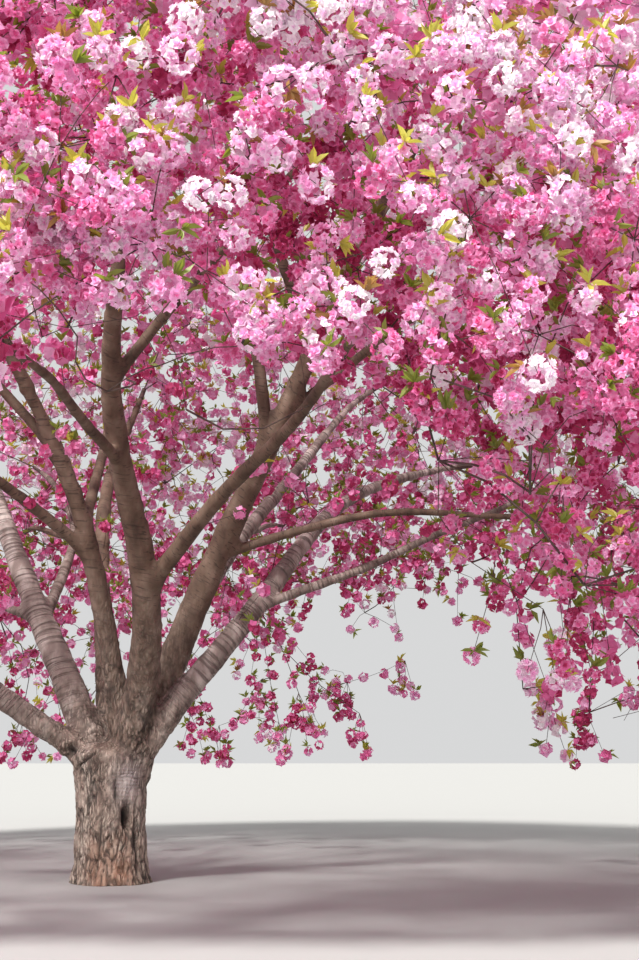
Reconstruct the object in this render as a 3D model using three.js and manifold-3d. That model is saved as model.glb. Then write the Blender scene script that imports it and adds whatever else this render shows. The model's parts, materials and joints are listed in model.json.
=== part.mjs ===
// A mature double pink cherry in full bloom: a short stout trunk that forks low into a vase of
// ascending boughs, under a wide umbrella of blossom that is bare and open inside.
// Millimetres, +Z up. The origin is the middle of the flat cut under the trunk, +X is to the
// right and +Y away from the viewer. A compass angle is 0 along +X and 90 along +Y, and a rise is
// the angle above level, both in degrees.

import * as THREE from "three";
import { mergeVertices } from "three/addons/utils/BufferGeometryUtils.js";
import Module from "manifold-3d";

const wasm = await Module();
wasm.setup();

// The gap between nodes, the tolerances of the solids and the seeds of the draws
const GAP = 0.3;
const WELD = 0.01;
const SMOOTHING = 0.05;
const SEEDS = { limb: 1000, limbStep: 17, mass: 5000, massStep: 31 };

// Driving dimensions of the trunk
const TRUNK = {
  waist: 238,
  fork: 950,
  lean: -24,
  flare: 18,
  flareHeight: 150,
  toe: 26,
  toeHeight: 85,
  collar: 34,
  collarHeight: 170,
  crotch: 0.45,
  crotchFrom: 0.9,
  toeSpan: 24,
};
const ROOT_TOES = [12, 78, 148, 186, 251, 318];
const TRUNK_SIDES = 16;
const TRUNK_LEVELS = [0, 0.04, 0.1, 0.19, 0.32, 0.5, 0.68, 0.82, 0.92, 0.975, 1];

// Driving dimensions of the crown, an umbrella on the axis at AXIS
const AXIS = [200, 0];
const CROWN = {
  radius: 5150,
  waist: 2980,
  top: 7830,
  roundness: 2.3,
  skirt: 930,
  skirtLift: 1300,
  liftCompass: 262,
  liftSpan: 44,
  tuck: 0.2,
  wave: 0.03,
};

// Limbs: name, what carries it, where it springs, compass and rise from root to tip, length,
// radius at root and tip. On the trunk the place is height, compass and distance from the axis;
// on another limb it is the share of that limb's length.
const LIMBS = [
  ["bough_left_low", "trunk", [790, 180, 90], [184, 212], [30, 42], 2950, [92, 32]],
  ["bough_left", "trunk", [720, 165, 90], [146, 145], [60, 57], 3780, [122, 38]],
  ["bough_left_front", "trunk", [800, 340, 60], [210, 238], [85, 44], 3880, [88, 30]],
  ["bough_front", "trunk", [700, 325, 85], [322, 246, 290], [74, 59, 48], 3620, [126, 46]],
  ["bough_leader", "trunk", [710, 10, 110], [18, 324, 336], [71, 62, 55], 4900, [122, 34]],
  ["bough_right", "trunk", [690, 325, 100], [350, 52, 36], [58, 44, 8], 4200, [100, 30]],
  ["bough_back_right", "trunk", [750, 60, 100], [36, 58], [68, 30], 4380, [84, 28]],
  ["bough_back", "trunk", [750, 112, 100], [112, 82], [66, 42], 4080, [88, 28]],
  ["limb_left_back", "bough_left", 0.33, [72, 132], [48, 30], 2300, [46, 22]],
  ["limb_left_side", "bough_left", 0.33, [168, 160], [20, 12], 2200, [34, 20]],
  ["limb_front_left", "bough_left_front", 0.36, [215, 228], [40, 2], 2400, [44, 20]],
  ["limb_left_rise", "bough_left_front", 0.55, [186, 202], [52, 34], 2100, [38, 20]],
  ["limb_rear_rise", "bough_left_front", 0.42, [88, 96], [44, 62], 2900, [42, 20]],
  ["limb_crown_left", "bough_left_front", 0.68, [170, 184], [66, 54], 2000, [36, 20]],
  ["limb_front_right", "bough_front", 0.36, [318, 294], [38, 12], 2700, [60, 24]],
  ["limb_front_low", "bough_front", 0.6, [258, 264], [16, -4], 2000, [38, 20]],
  ["limb_front_rise", "bough_front", 0.76, [338, 328], [48, 32], 2100, [38, 20]],
  ["limb_right_long", "bough_leader", 0.325, [6, 326], [24, -16], 2400, [36, 18]],
  ["limb_right_rise", "bough_leader", 0.54, [350, 4], [42, 28], 1900, [40, 20]],
  ["limb_crown_back", "bough_leader", 0.6, [40, 48], [64, 54], 2200, [42, 20]],
  ["limb_crown_top", "bough_leader", 0.5, [258, 196], [70, 84], 3300, [46, 22]],
  ["limb_crown_front", "bough_leader", 0.66, [236, 246], [50, 50], 2100, [42, 20]],
  ["limb_right_low", "bough_right", 0.35, [2, 6], [20, 26], 2000, [36, 20]],
  ["limb_back_right_low", "bough_back_right", 0.4, [86, 76], [24, 8], 2100, [36, 20]],
  ["limb_back_low", "bough_back", 0.45, [124, 114], [22, 6], 2100, [36, 20]],
];
const CROOK = 6;
const CROOK_TURNS = [1.3, 1.7];
const CROOK_CLIMB = 0.7;
const PATH_STEPS = 48;
const COLLAR = { swell: 0.22, run: 1.5 };
const LIMB_SEGMENTS = { bough: 7, limb: 5 };
const LIMB_SIDES = { bough: 8, limb: 6 };

// Masses of blossom: tier, compass of its middle, and the limb whose tip carries it
const MASSES = [
  ["skirt", 340, "limb_right_long"],
  ["skirt", 11, "limb_right_low"],
  ["skirt", 41, "bough_right"],
  ["skirt", 78, "limb_back_right_low"],
  ["skirt", 115, "limb_back_low"],
  ["skirt", 154, "limb_left_side"],
  ["skirt", 192, "bough_left_low"],
  ["skirt", 228, "limb_front_left"],
  ["skirt", 265, "limb_front_low"],
  ["skirt", 303, "limb_front_right"],
  ["shoulder", 0, "limb_right_rise"],
  ["shoulder", 54, "bough_back_right"],
  ["shoulder", 91, "bough_back"],
  ["shoulder", 124, "limb_left_back"],
  ["shoulder", 158, "bough_left"],
  ["shoulder", 200, "limb_left_rise"],
  ["shoulder", 238, "bough_left_front"],
  ["shoulder", 277, "bough_front"],
  ["shoulder", 318, "limb_front_rise"],
  ["crown", 336, "bough_leader"],
  ["crown", 45, "limb_crown_back"],
  ["crown", 112, "limb_rear_rise"],
  ["crown", 184, "limb_crown_left"],
  ["crown", 260, "limb_crown_front"],
  ["top", 270, "limb_crown_top"],
];
const TIERS = {
  skirt: { reach: 4050, height: 2380, sprays: 9, from: -1, to: 0.12 },
  shoulder: { reach: 3500, height: 4430, sprays: 9, from: -0.1, to: 0.55 },
  crown: { reach: 1950, height: 6130, sprays: 8, from: 0.35, to: 0.95 },
  top: { reach: 200, height: 7080, sprays: 9, from: 0.7, to: 1 },
};
const SPRAY = {
  reach: [540, 700],
  thick: 0.47,
  ruffle: 0.16,
  hemLevel: -0.55,
  hanging: 0.7,
  least: 0.55,
  overlap: 0.75,
  favour: 0.9,
  fan: 34,
  cover: 0.8,
};
const DEEP = { share: 0.2, from: 500, to: 1300 };
const DIMPLE = { width: 450, depth: 180 };
const TRIES = 80;
const TWIG = {
  tip: 9,
  power: 2.4,
  detour: 0.35,
  stem: 190,
  sink: 30,
  clear: 14,
  stemRoot: 0.92,
  stemTaper: 0.86,
  thickest: 0.78,
  taper: 1.25,
  sides: 3,
};
const WAY = { steps: 8, room: 60, clear: 45, levelReach: 900 };
const LEAF = {
  count: 4,
  length: 440,
  width: 160,
  thick: 16,
  sunk: 0.5,
  proud: 160,
  aboveHem: 0.9,
  rise: [-10, 70],
};
const KEEP_OFF = 10;

const BARK = { trunk: 0x6f5f52, bough: 0x6b5a50, limb: 0x74655c };
const PINK = { skirt: 0xd9679c, shoulder: 0xe583b0, crown: 0xf0a3c4, top: 0xf4b7d0 };

// Small helpers
const radians = THREE.MathUtils.degToRad;
const mix = THREE.MathUtils.lerp;

function seededDraws(seed) {
  let state = seed >>> 0;
  return () => {
    state = (state + 0x6d2b79f5) >>> 0;
    let mixed = Math.imul(state ^ (state >>> 15), state | 1);
    mixed ^= mixed + Math.imul(mixed ^ (mixed >>> 7), mixed | 61);
    return ((mixed ^ (mixed >>> 14)) >>> 0) / 4294967296;
  };
}

function turnBetween(from, to) {
  return ((((to - from + 180) % 360) + 360) % 360) - 180;
}

function along(values, t) {
  const place = t * (values.length - 1);
  const first = Math.min(Math.floor(place), values.length - 2);
  return [values[first], values[first + 1], place - first];
}

function direction(compass, rise) {
  const level = Math.cos(radians(rise));
  return new THREE.Vector3(
    level * Math.cos(radians(compass)),
    level * Math.sin(radians(compass)),
    Math.sin(radians(rise)),
  );
}

// Paths of the limbs
function growPath(limb, index, paths) {
  const [, carrier, place, compass, rise, length] = limb;
  const draw = seededDraws(SEEDS.limb + SEEDS.limbStep * index);
  const phases = [draw(), draw()];
  const start = new THREE.Vector3();
  if (carrier === "trunk") {
    const [height, bearing, offset] = place;
    start.copy(direction(bearing, 0)).multiplyScalar(offset).setZ(height);
  } else {
    start.copy(pointOn(paths[carrier], place));
  }
  const points = [start];
  for (let step = 0; step < PATH_STEPS; step += 1) {
    const t = (step + 0.5) / PATH_STEPS;
    const sway = CROOK * Math.sqrt(t);
    const [fromCompass, toCompass, compassShare] = along(compass, t);
    const [fromRise, toRise, riseShare] = along(rise, t);
    const heading = fromCompass + turnBetween(fromCompass, toCompass) * compassShare
      + sway * Math.sin(2 * Math.PI * (CROOK_TURNS[0] * t + phases[0]));
    const climb = mix(fromRise, toRise, riseShare)
      + CROOK_CLIMB * sway * Math.sin(2 * Math.PI * (CROOK_TURNS[1] * t + phases[1]));
    const next = direction(heading, climb).multiplyScalar(length / PATH_STEPS);
    points.push(next.add(points[step]));
  }
  return points;
}

function pointOn(points, t) {
  const place = t * (points.length - 1);
  const first = Math.min(Math.floor(place), points.length - 2);
  return points[first].clone().lerp(points[first + 1], place - first);
}

function headingOn(points, t) {
  const half = 0.5 / (points.length - 1);
  const before = pointOn(points, Math.max(t - half, 0));
  return pointOn(points, Math.min(t + half, 1)).sub(before).normalize();
}

function limbRadius(limb, t) {
  const [root, tip] = limb[6];
  const collar = COLLAR.swell * Math.exp((-t * limb[5]) / (COLLAR.run * root));
  return mix(root, tip, t) * (1 + collar);
}

// Solids from three.js geometry
function solidOf(geometry) {
  const bare = geometry.clone();
  bare.deleteAttribute("normal");
  bare.deleteAttribute("uv");
  const merged = mergeVertices(bare, WELD);
  return new wasm.Manifold(new wasm.Mesh({
    numProp: 3,
    vertProperties: new Float32Array(merged.attributes.position.array),
    triVerts: new Uint32Array(merged.index ? merged.index.array : []),
  }));
}

function geometryOf(solid) {
  const mesh = solid.getMesh();
  const geometry = new THREE.BufferGeometry();
  geometry.setAttribute("position", new THREE.BufferAttribute(mesh.vertProperties, 3));
  geometry.setIndex(new THREE.BufferAttribute(mesh.triVerts, 1));
  geometry.computeVertexNormals();
  return geometry;
}

function largestBody(solid) {
  const bodies = solid.simplify(SMOOTHING).decompose();
  return bodies.reduce((best, body) => (body.volume() > best.volume() ? body : best));
}

// A closed cylinder bent along rings; each ring has a centre, two side directions and a reach
function bentCylinder(sides, rings, reach) {
  const geometry = new THREE.CylinderGeometry(1, 1, 1, sides, rings.length - 1);
  const position = geometry.attributes.position;
  const vertex = new THREE.Vector3();
  for (let index = 0; index < position.count; index += 1) {
    vertex.fromBufferAttribute(position, index);
    const level = Math.round((vertex.y + 0.5) * (rings.length - 1));
    const ring = rings[level];
    const fromAxis = Math.hypot(vertex.x, vertex.z);
    const angle = Math.atan2(vertex.z, vertex.x);
    const radius = fromAxis > 0.5 ? reach(level, angle) : 0;
    vertex.copy(ring.centre)
      .addScaledVector(ring.side, radius * Math.cos(angle))
      .addScaledVector(ring.front, radius * Math.sin(angle));
    position.setXYZ(index, vertex.x, vertex.y, vertex.z);
  }
  return geometry;
}

function ringsAlong(points, places, grow) {
  const side = new THREE.Vector3(0, 1, 0).cross(headingOn(points, 0)).normalize();
  return places.map((t, level) => {
    const heading = headingOn(points, t);
    side.addScaledVector(heading, -side.dot(heading)).normalize();
    const centre = pointOn(points, t);
    if (level === 0) {
      centre.addScaledVector(heading, -grow);
    }
    if (level === places.length - 1) {
      centre.addScaledVector(heading, grow);
    }
    return { centre, side: side.clone(), front: side.clone().cross(heading) };
  });
}

function evenPlaces(count) {
  return Array.from({ length: count + 1 }, (_, level) => level / count);
}

// Trunk: its waist, the flare and toes at the ground, and the collar below the crotch
function trunkReach(height, angle, grow) {
  const share = height / TRUNK.fork;
  const flare = TRUNK.flare * Math.exp(-height / TRUNK.flareHeight);
  const belowCollar = (TRUNK.fork * TRUNK.crotchFrom - height) / TRUNK.collarHeight;
  const collar = TRUNK.collar * Math.exp(-belowCollar * belowCollar);
  let toes = 0;
  for (const compass of ROOT_TOES) {
    const off = turnBetween(compass, THREE.MathUtils.radToDeg(angle)) / TRUNK.toeSpan;
    toes += TRUNK.toe * Math.exp(-off * off - height / TRUNK.toeHeight);
  }
  const closing = Math.max(share - TRUNK.crotchFrom, 0) / (1 - TRUNK.crotchFrom);
  const crotch = mix(1, TRUNK.crotch, closing);
  return (TRUNK.waist + flare + collar + toes) * crotch + grow;
}

function trunkSolid(grow = 0) {
  const rings = TRUNK_LEVELS.map((share) => {
    const height = share * TRUNK.fork + (share === 1 ? grow : 0);
    return {
      height,
      centre: new THREE.Vector3(TRUNK.lean * share, 0, height),
      side: new THREE.Vector3(1, 0, 0),
      front: new THREE.Vector3(0, -1, 0),
    };
  });
  const reach = (level, angle) => trunkReach(rings[level].height, -angle, grow);
  return solidOf(bentCylinder(TRUNK_SIDES, rings, reach));
}

function kindOf(name) {
  return name.split("_")[0];
}

function limbSolid(limb, points, grow = 0) {
  const kind = kindOf(limb[0]);
  const places = evenPlaces(LIMB_SEGMENTS[kind]);
  const rings = ringsAlong(points, places, grow);
  const reach = (level) => limbRadius(limb, places[level]) + grow;
  return solidOf(bentCylinder(LIMB_SIDES[kind], rings, reach));
}

// The crown's space
function skirtHeight(compass) {
  const off = turnBetween(CROWN.liftCompass, compass) / CROWN.liftSpan;
  return CROWN.skirt + CROWN.skirtLift * Math.exp(-off * off);
}

function crownRadius(compass) {
  const turn = radians(compass);
  return CROWN.radius * (1 + CROWN.wave * (Math.sin(3 * turn + 1.1) + 0.8 * Math.sin(5 * turn + 0.4)));
}

// Place on the crown's outer surface: level -1 is the skirt's hem, 0 the widest, 1 the top
function crownSurface(compass, level) {
  const radius = crownRadius(compass);
  const out = direction(compass, 0);
  const point = new THREE.Vector3(AXIS[0], AXIS[1], 0);
  if (level < 0) {
    const hem = skirtHeight(compass);
    return point.addScaledVector(out, radius * (1 - CROWN.tuck * level * level))
      .setZ(mix(CROWN.waist, hem, -level));
  }
  const power = 2 / CROWN.roundness;
  const turn = (level * Math.PI) / 2;
  return point.addScaledVector(out, radius * Math.cos(turn) ** power)
    .setZ(CROWN.waist + (CROWN.top - CROWN.waist) * Math.sin(turn) ** power);
}

// Depth of a point below that surface, negative outside it
function crownDepth(point) {
  const x = point.x - AXIS[0];
  const y = point.y - AXIS[1];
  const reach = Math.hypot(x, y);
  const compass = THREE.MathUtils.radToDeg(Math.atan2(y, x));
  const radius = crownRadius(compass);
  if (point.z < CROWN.waist) {
    const hem = skirtHeight(compass);
    const drop = (CROWN.waist - point.z) / (CROWN.waist - hem);
    return Math.min(radius * (1 - CROWN.tuck * drop * drop) - reach, point.z - hem);
  }
  const rise = (point.z - CROWN.waist) / (CROWN.top - CROWN.waist);
  const scaled = ((reach / radius) ** CROWN.roundness + rise ** CROWN.roundness)
    ** (1 / CROWN.roundness);
  return (1 - scaled) * Math.hypot(reach, point.z - CROWN.waist) / Math.max(scaled, 0.01);
}

function massCentre(mass) {
  const [tier, compass] = mass;
  return direction(compass, 0).multiplyScalar(TIERS[tier].reach)
    .add(new THREE.Vector3(AXIS[0], AXIS[1], TIERS[tier].height));
}

// Distance from a point to the nearest plane midway to another mass, negative across it
function spaceAround(point, index, centres) {
  const own = centres[index];
  let least = Infinity;
  centres.forEach((other, place) => {
    if (place !== index) {
      const apart = own.distanceTo(other);
      const room = (point.distanceToSquared(other) - point.distanceToSquared(own)) / (2 * apart);
      least = Math.min(least, room);
    }
  });
  return least;
}

function distanceToSegment(point, from, to) {
  const run = to.clone().sub(from);
  const share = THREE.MathUtils.clamp(point.clone().sub(from).dot(run) / run.lengthSq(), 0, 1);
  return from.clone().addScaledVector(run, share).distanceTo(point);
}

// Clear way between a point and the nearest limb, which has a few straight stretches
function clearOfLimbs(point, limbLines) {
  let least = Infinity;
  for (const { from, to, radius } of limbLines) {
    if (Math.abs(point.z - from.z) < WAY.levelReach) {
      least = Math.min(least, distanceToSegment(point, from, to) - radius);
    }
  }
  return least;
}

function linesOfLimbs(paths) {
  const lines = [];
  for (const limb of LIMBS) {
    const places = evenPlaces(LIMB_SEGMENTS[kindOf(limb[0])]);
    for (let step = 1; step < places.length; step += 1) {
      lines.push({
        from: pointOn(paths[limb[0]], places[step - 1]),
        to: pointOn(paths[limb[0]], places[step]),
        radius: limbRadius(limb, places[step - 1]),
      });
    }
  }
  return lines;
}

// One try at a place for a spray: where it lies, which way is outward there and how wide it can be
function trySpray(mass, index, centres, limbLines, width, deep, draw) {
  const tier = TIERS[mass[0]];
  const compass = mass[0] === "top" ? 360 * draw() : mass[1] + mix(-SPRAY.fan, SPRAY.fan, draw());
  const level = mix(tier.from, tier.to, draw());
  const extra = draw();
  const surface = crownSurface(compass, level);
  const outward = surface.clone()
    .sub(new THREE.Vector3(AXIS[0], AXIS[1], Math.min(CROWN.waist, surface.z))).normalize();
  const size = width * (level < SPRAY.hemLevel ? SPRAY.hanging : 1);
  const edge = THREE.MathUtils.clamp(spaceAround(surface, index, centres) / DIMPLE.width, 0, 1);
  const depth = SPRAY.thick * size + DIMPLE.depth * (1 - edge) ** 2
    + (deep ? mix(DEEP.from, DEEP.to, extra) : 0);
  const point = surface.addScaledVector(outward, -depth);
  const room = Math.min(
    spaceAround(point, index, centres) - KEEP_OFF,
    clearOfLimbs(point, limbLines) - TWIG.clear,
  );
  const reach = Math.min(size, room);
  if (reach < SPRAY.least * size || crownDepth(point) < SPRAY.cover * SPRAY.thick * reach) {
    return null;
  }
  return { point, outward, reach };
}

// Sprays of one mass: the next is always the one of some tries that leaves the widest way clear
function placeSprays(mass, index, centres, limbLines, draw) {
  const sprays = [];
  for (let count = 0; count < TIERS[mass[0]].sprays; count += 1) {
    const width = mix(SPRAY.reach[0], SPRAY.reach[1], draw());
    const deep = draw() < DEEP.share;
    let best = null;
    let bestScore = -Infinity;
    for (let attempt = 0; attempt < TRIES; attempt += 1) {
      const spray = trySpray(mass, index, centres, limbLines, width, deep, draw);
      if (spray) {
        let score = width;
        for (const other of sprays) {
          const apart = spray.point.distanceTo(other.point);
          score = Math.min(score, apart - SPRAY.overlap * (spray.reach + other.reach));
        }
        score += SPRAY.favour * spray.reach;
        if (score > bestScore) {
          bestScore = score;
          best = spray;
        }
      }
    }
    if (best) {
      sprays.push(best);
    }
  }
  return sprays;
}

// Twigs: each spray joins the nearest node of the growing twigs, with a detour weighed in
function growTwigs(root, sprays, index, centres, limbLines) {
  const nodes = [{ point: root, parent: -1, travelled: 0, share: 0 }];
  const waiting = [...sprays].sort((a, b) => a.point.distanceTo(root) - b.point.distanceTo(root));
  for (const spray of waiting) {
    let parent = -1;
    let bestCost = Infinity;
    nodes.forEach((node, place) => {
      const way = node.point.distanceTo(spray.point);
      const cost = way + TWIG.detour * node.travelled;
      if (cost < bestCost && wayIsClear(node.point, spray.point, place, index, centres, limbLines)) {
        bestCost = cost;
        parent = place;
      }
    });
    if (parent >= 0) {
      const travelled = nodes[parent].travelled + nodes[parent].point.distanceTo(spray.point);
      nodes.push({ point: spray.point, parent, travelled, share: 0, spray });
    }
  }
  for (let place = nodes.length - 1; place > 0; place -= 1) {
    const node = nodes[place];
    node.share += TWIG.tip ** TWIG.power;
    nodes[node.parent].share += node.share;
  }
  return nodes;
}

function wayIsClear(from, to, place, index, centres, limbLines) {
  for (let step = place === 0 ? 2 : 1; step < WAY.steps; step += 1) {
    const point = from.clone().lerp(to, step / WAY.steps);
    if (spaceAround(point, index, centres) < WAY.room || clearOfLimbs(point, limbLines) < WAY.clear) {
      return false;
    }
  }
  return true;
}

function twigGeometry(from, to, fromRadius, toRadius, sides) {
  const run = to.clone().sub(from);
  const turn = new THREE.Quaternion()
    .setFromUnitVectors(new THREE.Vector3(0, 1, 0), run.clone().normalize());
  const geometry = new THREE.CylinderGeometry(toRadius, fromRadius, run.length(), sides, 1);
  geometry.applyQuaternion(turn);
  return geometry.translate(...from.clone().lerp(to, 0.5));
}

// A spray of blossom is a ruffled cushion of twenty faces that lies across the outward way
function sprayGeometry(spray, draw) {
  const bare = new THREE.IcosahedronGeometry(1, 0);
  bare.deleteAttribute("normal");
  bare.deleteAttribute("uv");
  const geometry = mergeVertices(bare, WELD);
  const position = geometry.attributes.position;
  const up = new THREE.Vector3(0, 0, 1);
  const spin = new THREE.Quaternion().setFromAxisAngle(up, 2 * Math.PI * draw());
  const tilt = new THREE.Quaternion().setFromUnitVectors(up, spray.outward);
  const vertex = new THREE.Vector3();
  for (let place = 0; place < position.count; place += 1) {
    const reach = spray.reach * (1 - SPRAY.ruffle * draw());
    vertex.fromBufferAttribute(position, place).applyQuaternion(spin).multiplyScalar(reach);
    vertex.z *= SPRAY.thick;
    vertex.applyQuaternion(tilt).add(spray.point);
    position.setXYZ(place, vertex.x, vertex.y, vertex.z);
  }
  return geometry;
}

// A leaf is a thin blade of eight faces with its root sunk in a spray
function leafStart(spray, heading) {
  const across = heading.dot(spray.outward);
  const skin = spray.reach * Math.sqrt(1 - across * across * (1 - SPRAY.thick * SPRAY.thick));
  return spray.point.clone().addScaledVector(heading, LEAF.sunk * skin);
}

function leafGeometry(spray, heading) {
  const geometry = new THREE.OctahedronGeometry(1, 0);
  geometry.scale(LEAF.width / 2, LEAF.length / 2, LEAF.thick / 2);
  geometry.applyQuaternion(new THREE.Quaternion()
    .setFromUnitVectors(new THREE.Vector3(0, 1, 0), heading));
  return geometry.translate(...leafStart(spray, heading).addScaledVector(heading, LEAF.length / 2));
}

function leafFits(spray, heading, index, centres, limbLines) {
  const tip = leafStart(spray, heading).addScaledVector(heading, LEAF.length);
  const room = Math.min(spaceAround(tip, index, centres), spaceAround(spray.point, index, centres));
  return room > LEAF.width / 2 + KEEP_OFF && crownDepth(tip) > -LEAF.proud
    && tip.z > skirtHeight(0) * LEAF.aboveHem && clearOfLimbs(tip, limbLines) > LEAF.width;
}

// One mass: a stem that meets its limb's tip, twigs, sprays of blossom and leaves, all one body
function massSolid(mass, index, centres, paths, limbLines) {
  const draw = seededDraws(SEEDS.mass + SEEDS.massStep * index);
  const limb = LIMBS.find((row) => row[0] === mass[2]);
  const path = paths[limb[0]];
  const heading = headingOn(path, 1);
  const tip = pointOn(path, 1);
  const foot = tip.clone().addScaledVector(heading, GAP);
  const root = foot.clone().addScaledVector(heading, TWIG.stem - TWIG.sink);
  const stemEnd = foot.clone().addScaledVector(heading, TWIG.stem);
  const sprays = placeSprays(mass, index, centres, limbLines, draw);
  const nodes = growTwigs(root, sprays, index, centres, limbLines);
  const radiusAt = (place) => nodes[place].share ** (1 / TWIG.power);
  const stemRadius = TWIG.stemRoot * limb[6][1];
  const stemTip = TWIG.stemTaper * stemRadius;
  const parts = [twigGeometry(foot, stemEnd, stemRadius, stemTip, LIMB_SIDES.limb)];
  const grown = nodes.slice(1);
  grown.forEach((node, step) => {
    const thin = radiusAt(step + 1);
    const thick = Math.min(thin * TWIG.taper, TWIG.thickest * stemRadius);
    const from = nodes[node.parent].point;
    parts.push(twigGeometry(from, node.point, thick, Math.min(thin, thick), TWIG.sides));
    parts.push(sprayGeometry(node.spray, draw));
  });
  for (let count = 0; count < LEAF.count && grown.length > 0; count += 1) {
    const { spray } = grown[Math.floor(draw() * grown.length)];
    const leafHeading = direction(360 * draw(), mix(LEAF.rise[0], LEAF.rise[1], draw()));
    if (leafFits(spray, leafHeading, index, centres, limbLines)) {
      parts.push(leafGeometry(spray, leafHeading));
    }
  }
  return largestBody(wasm.Manifold.union(parts.map(solidOf)));
}

// Assembly
function namedMesh(name, solid, colour, roughness) {
  const material = new THREE.MeshStandardMaterial({ color: colour, roughness, metalness: 0 });
  const mesh = new THREE.Mesh(geometryOf(solid), material);
  mesh.name = name;
  return mesh;
}

function buildTree() {
  const tree = new THREE.Group();
  tree.add(namedMesh("trunk", trunkSolid(), BARK.trunk, 0.95));
  const paths = {};
  const kept = [trunkSolid(GAP)];
  LIMBS.forEach((limb, index) => {
    paths[limb[0]] = growPath(limb, index, paths);
    let solid = limbSolid(limb, paths[limb[0]]);
    for (const earlier of kept) {
      solid = solid.subtract(earlier);
    }
    kept.push(limbSolid(limb, paths[limb[0]], GAP));
    tree.add(namedMesh(limb[0], largestBody(solid), BARK[kindOf(limb[0])], 0.9));
  });
  const centres = MASSES.map(massCentre);
  const limbLines = linesOfLimbs(paths);
  MASSES.forEach((mass, index) => {
    const name = `blossom_${mass[0]}_${String(index + 1).padStart(2, "0")}`;
    const solid = massSolid(mass, index, centres, paths, limbLines);
    tree.add(namedMesh(name, solid, PINK[mass[0]], 0.75));
  });
  return tree;
}

export default buildTree();
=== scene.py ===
"""A double pink cherry in full bloom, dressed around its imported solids. Metres, +Z up, ground at 0.

The limbs and the masses of blossom follow the rule of the solids, with the same seeds and the same
order of draws. Each mass then grows on to finer twigs, shoots, flower clusters and leaves.
"""
import itertools
import json
import math

import bmesh
import bpy
import numpy as np
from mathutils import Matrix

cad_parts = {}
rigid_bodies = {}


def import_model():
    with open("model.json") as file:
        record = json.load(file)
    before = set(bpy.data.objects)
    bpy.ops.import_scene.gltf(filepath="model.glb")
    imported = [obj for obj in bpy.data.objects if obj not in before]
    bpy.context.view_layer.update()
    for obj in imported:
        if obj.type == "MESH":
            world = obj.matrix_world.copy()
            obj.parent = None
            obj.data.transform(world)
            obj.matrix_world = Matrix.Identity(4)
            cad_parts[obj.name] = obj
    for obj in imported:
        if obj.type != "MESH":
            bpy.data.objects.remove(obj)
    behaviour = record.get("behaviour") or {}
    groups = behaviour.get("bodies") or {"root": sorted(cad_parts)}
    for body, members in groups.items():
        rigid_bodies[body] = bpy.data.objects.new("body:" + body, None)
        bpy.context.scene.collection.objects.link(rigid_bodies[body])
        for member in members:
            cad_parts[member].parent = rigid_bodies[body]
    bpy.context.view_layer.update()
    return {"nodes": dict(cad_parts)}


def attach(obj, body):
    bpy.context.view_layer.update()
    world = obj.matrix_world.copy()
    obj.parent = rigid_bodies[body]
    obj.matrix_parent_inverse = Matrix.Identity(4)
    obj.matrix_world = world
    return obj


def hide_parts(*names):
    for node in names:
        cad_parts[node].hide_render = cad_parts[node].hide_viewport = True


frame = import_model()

# The photograph's frame and camera
CAMERA = {"place": (1.40, -9.30, 0.83), "pitch": 11.7, "lens": 50.0, "sensor": 36.0, "far": 300}
FRAME_PIXELS = (639, 960)

# The rule of the solids, in metres
TRUNK = {
    "waist": 0.238, "fork": 0.95, "lean": -0.024, "flare": 0.018, "flare_height": 0.15,
    "toe": 0.026, "toe_height": 0.085, "collar": 0.034, "collar_height": 0.17, "crotch": 0.45,
    "crotch_from": 0.9, "toe_span": 24,
}
ROOT_TOES = (12, 78, 148, 186, 251, 318)
AXIS = np.array([0.2, 0.0])
CROWN = {
    "radius": 5.15, "waist": 2.98, "top": 7.83, "roundness": 2.3, "skirt": 0.93,
    "skirt_lift": 1.3, "lift_compass": 262, "lift_span": 44, "tuck": 0.2, "wave": 0.03,
    "waves": ((1, 3, 1.1), (0.8, 5, 0.4)), "heart": 0.01,
}
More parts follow.
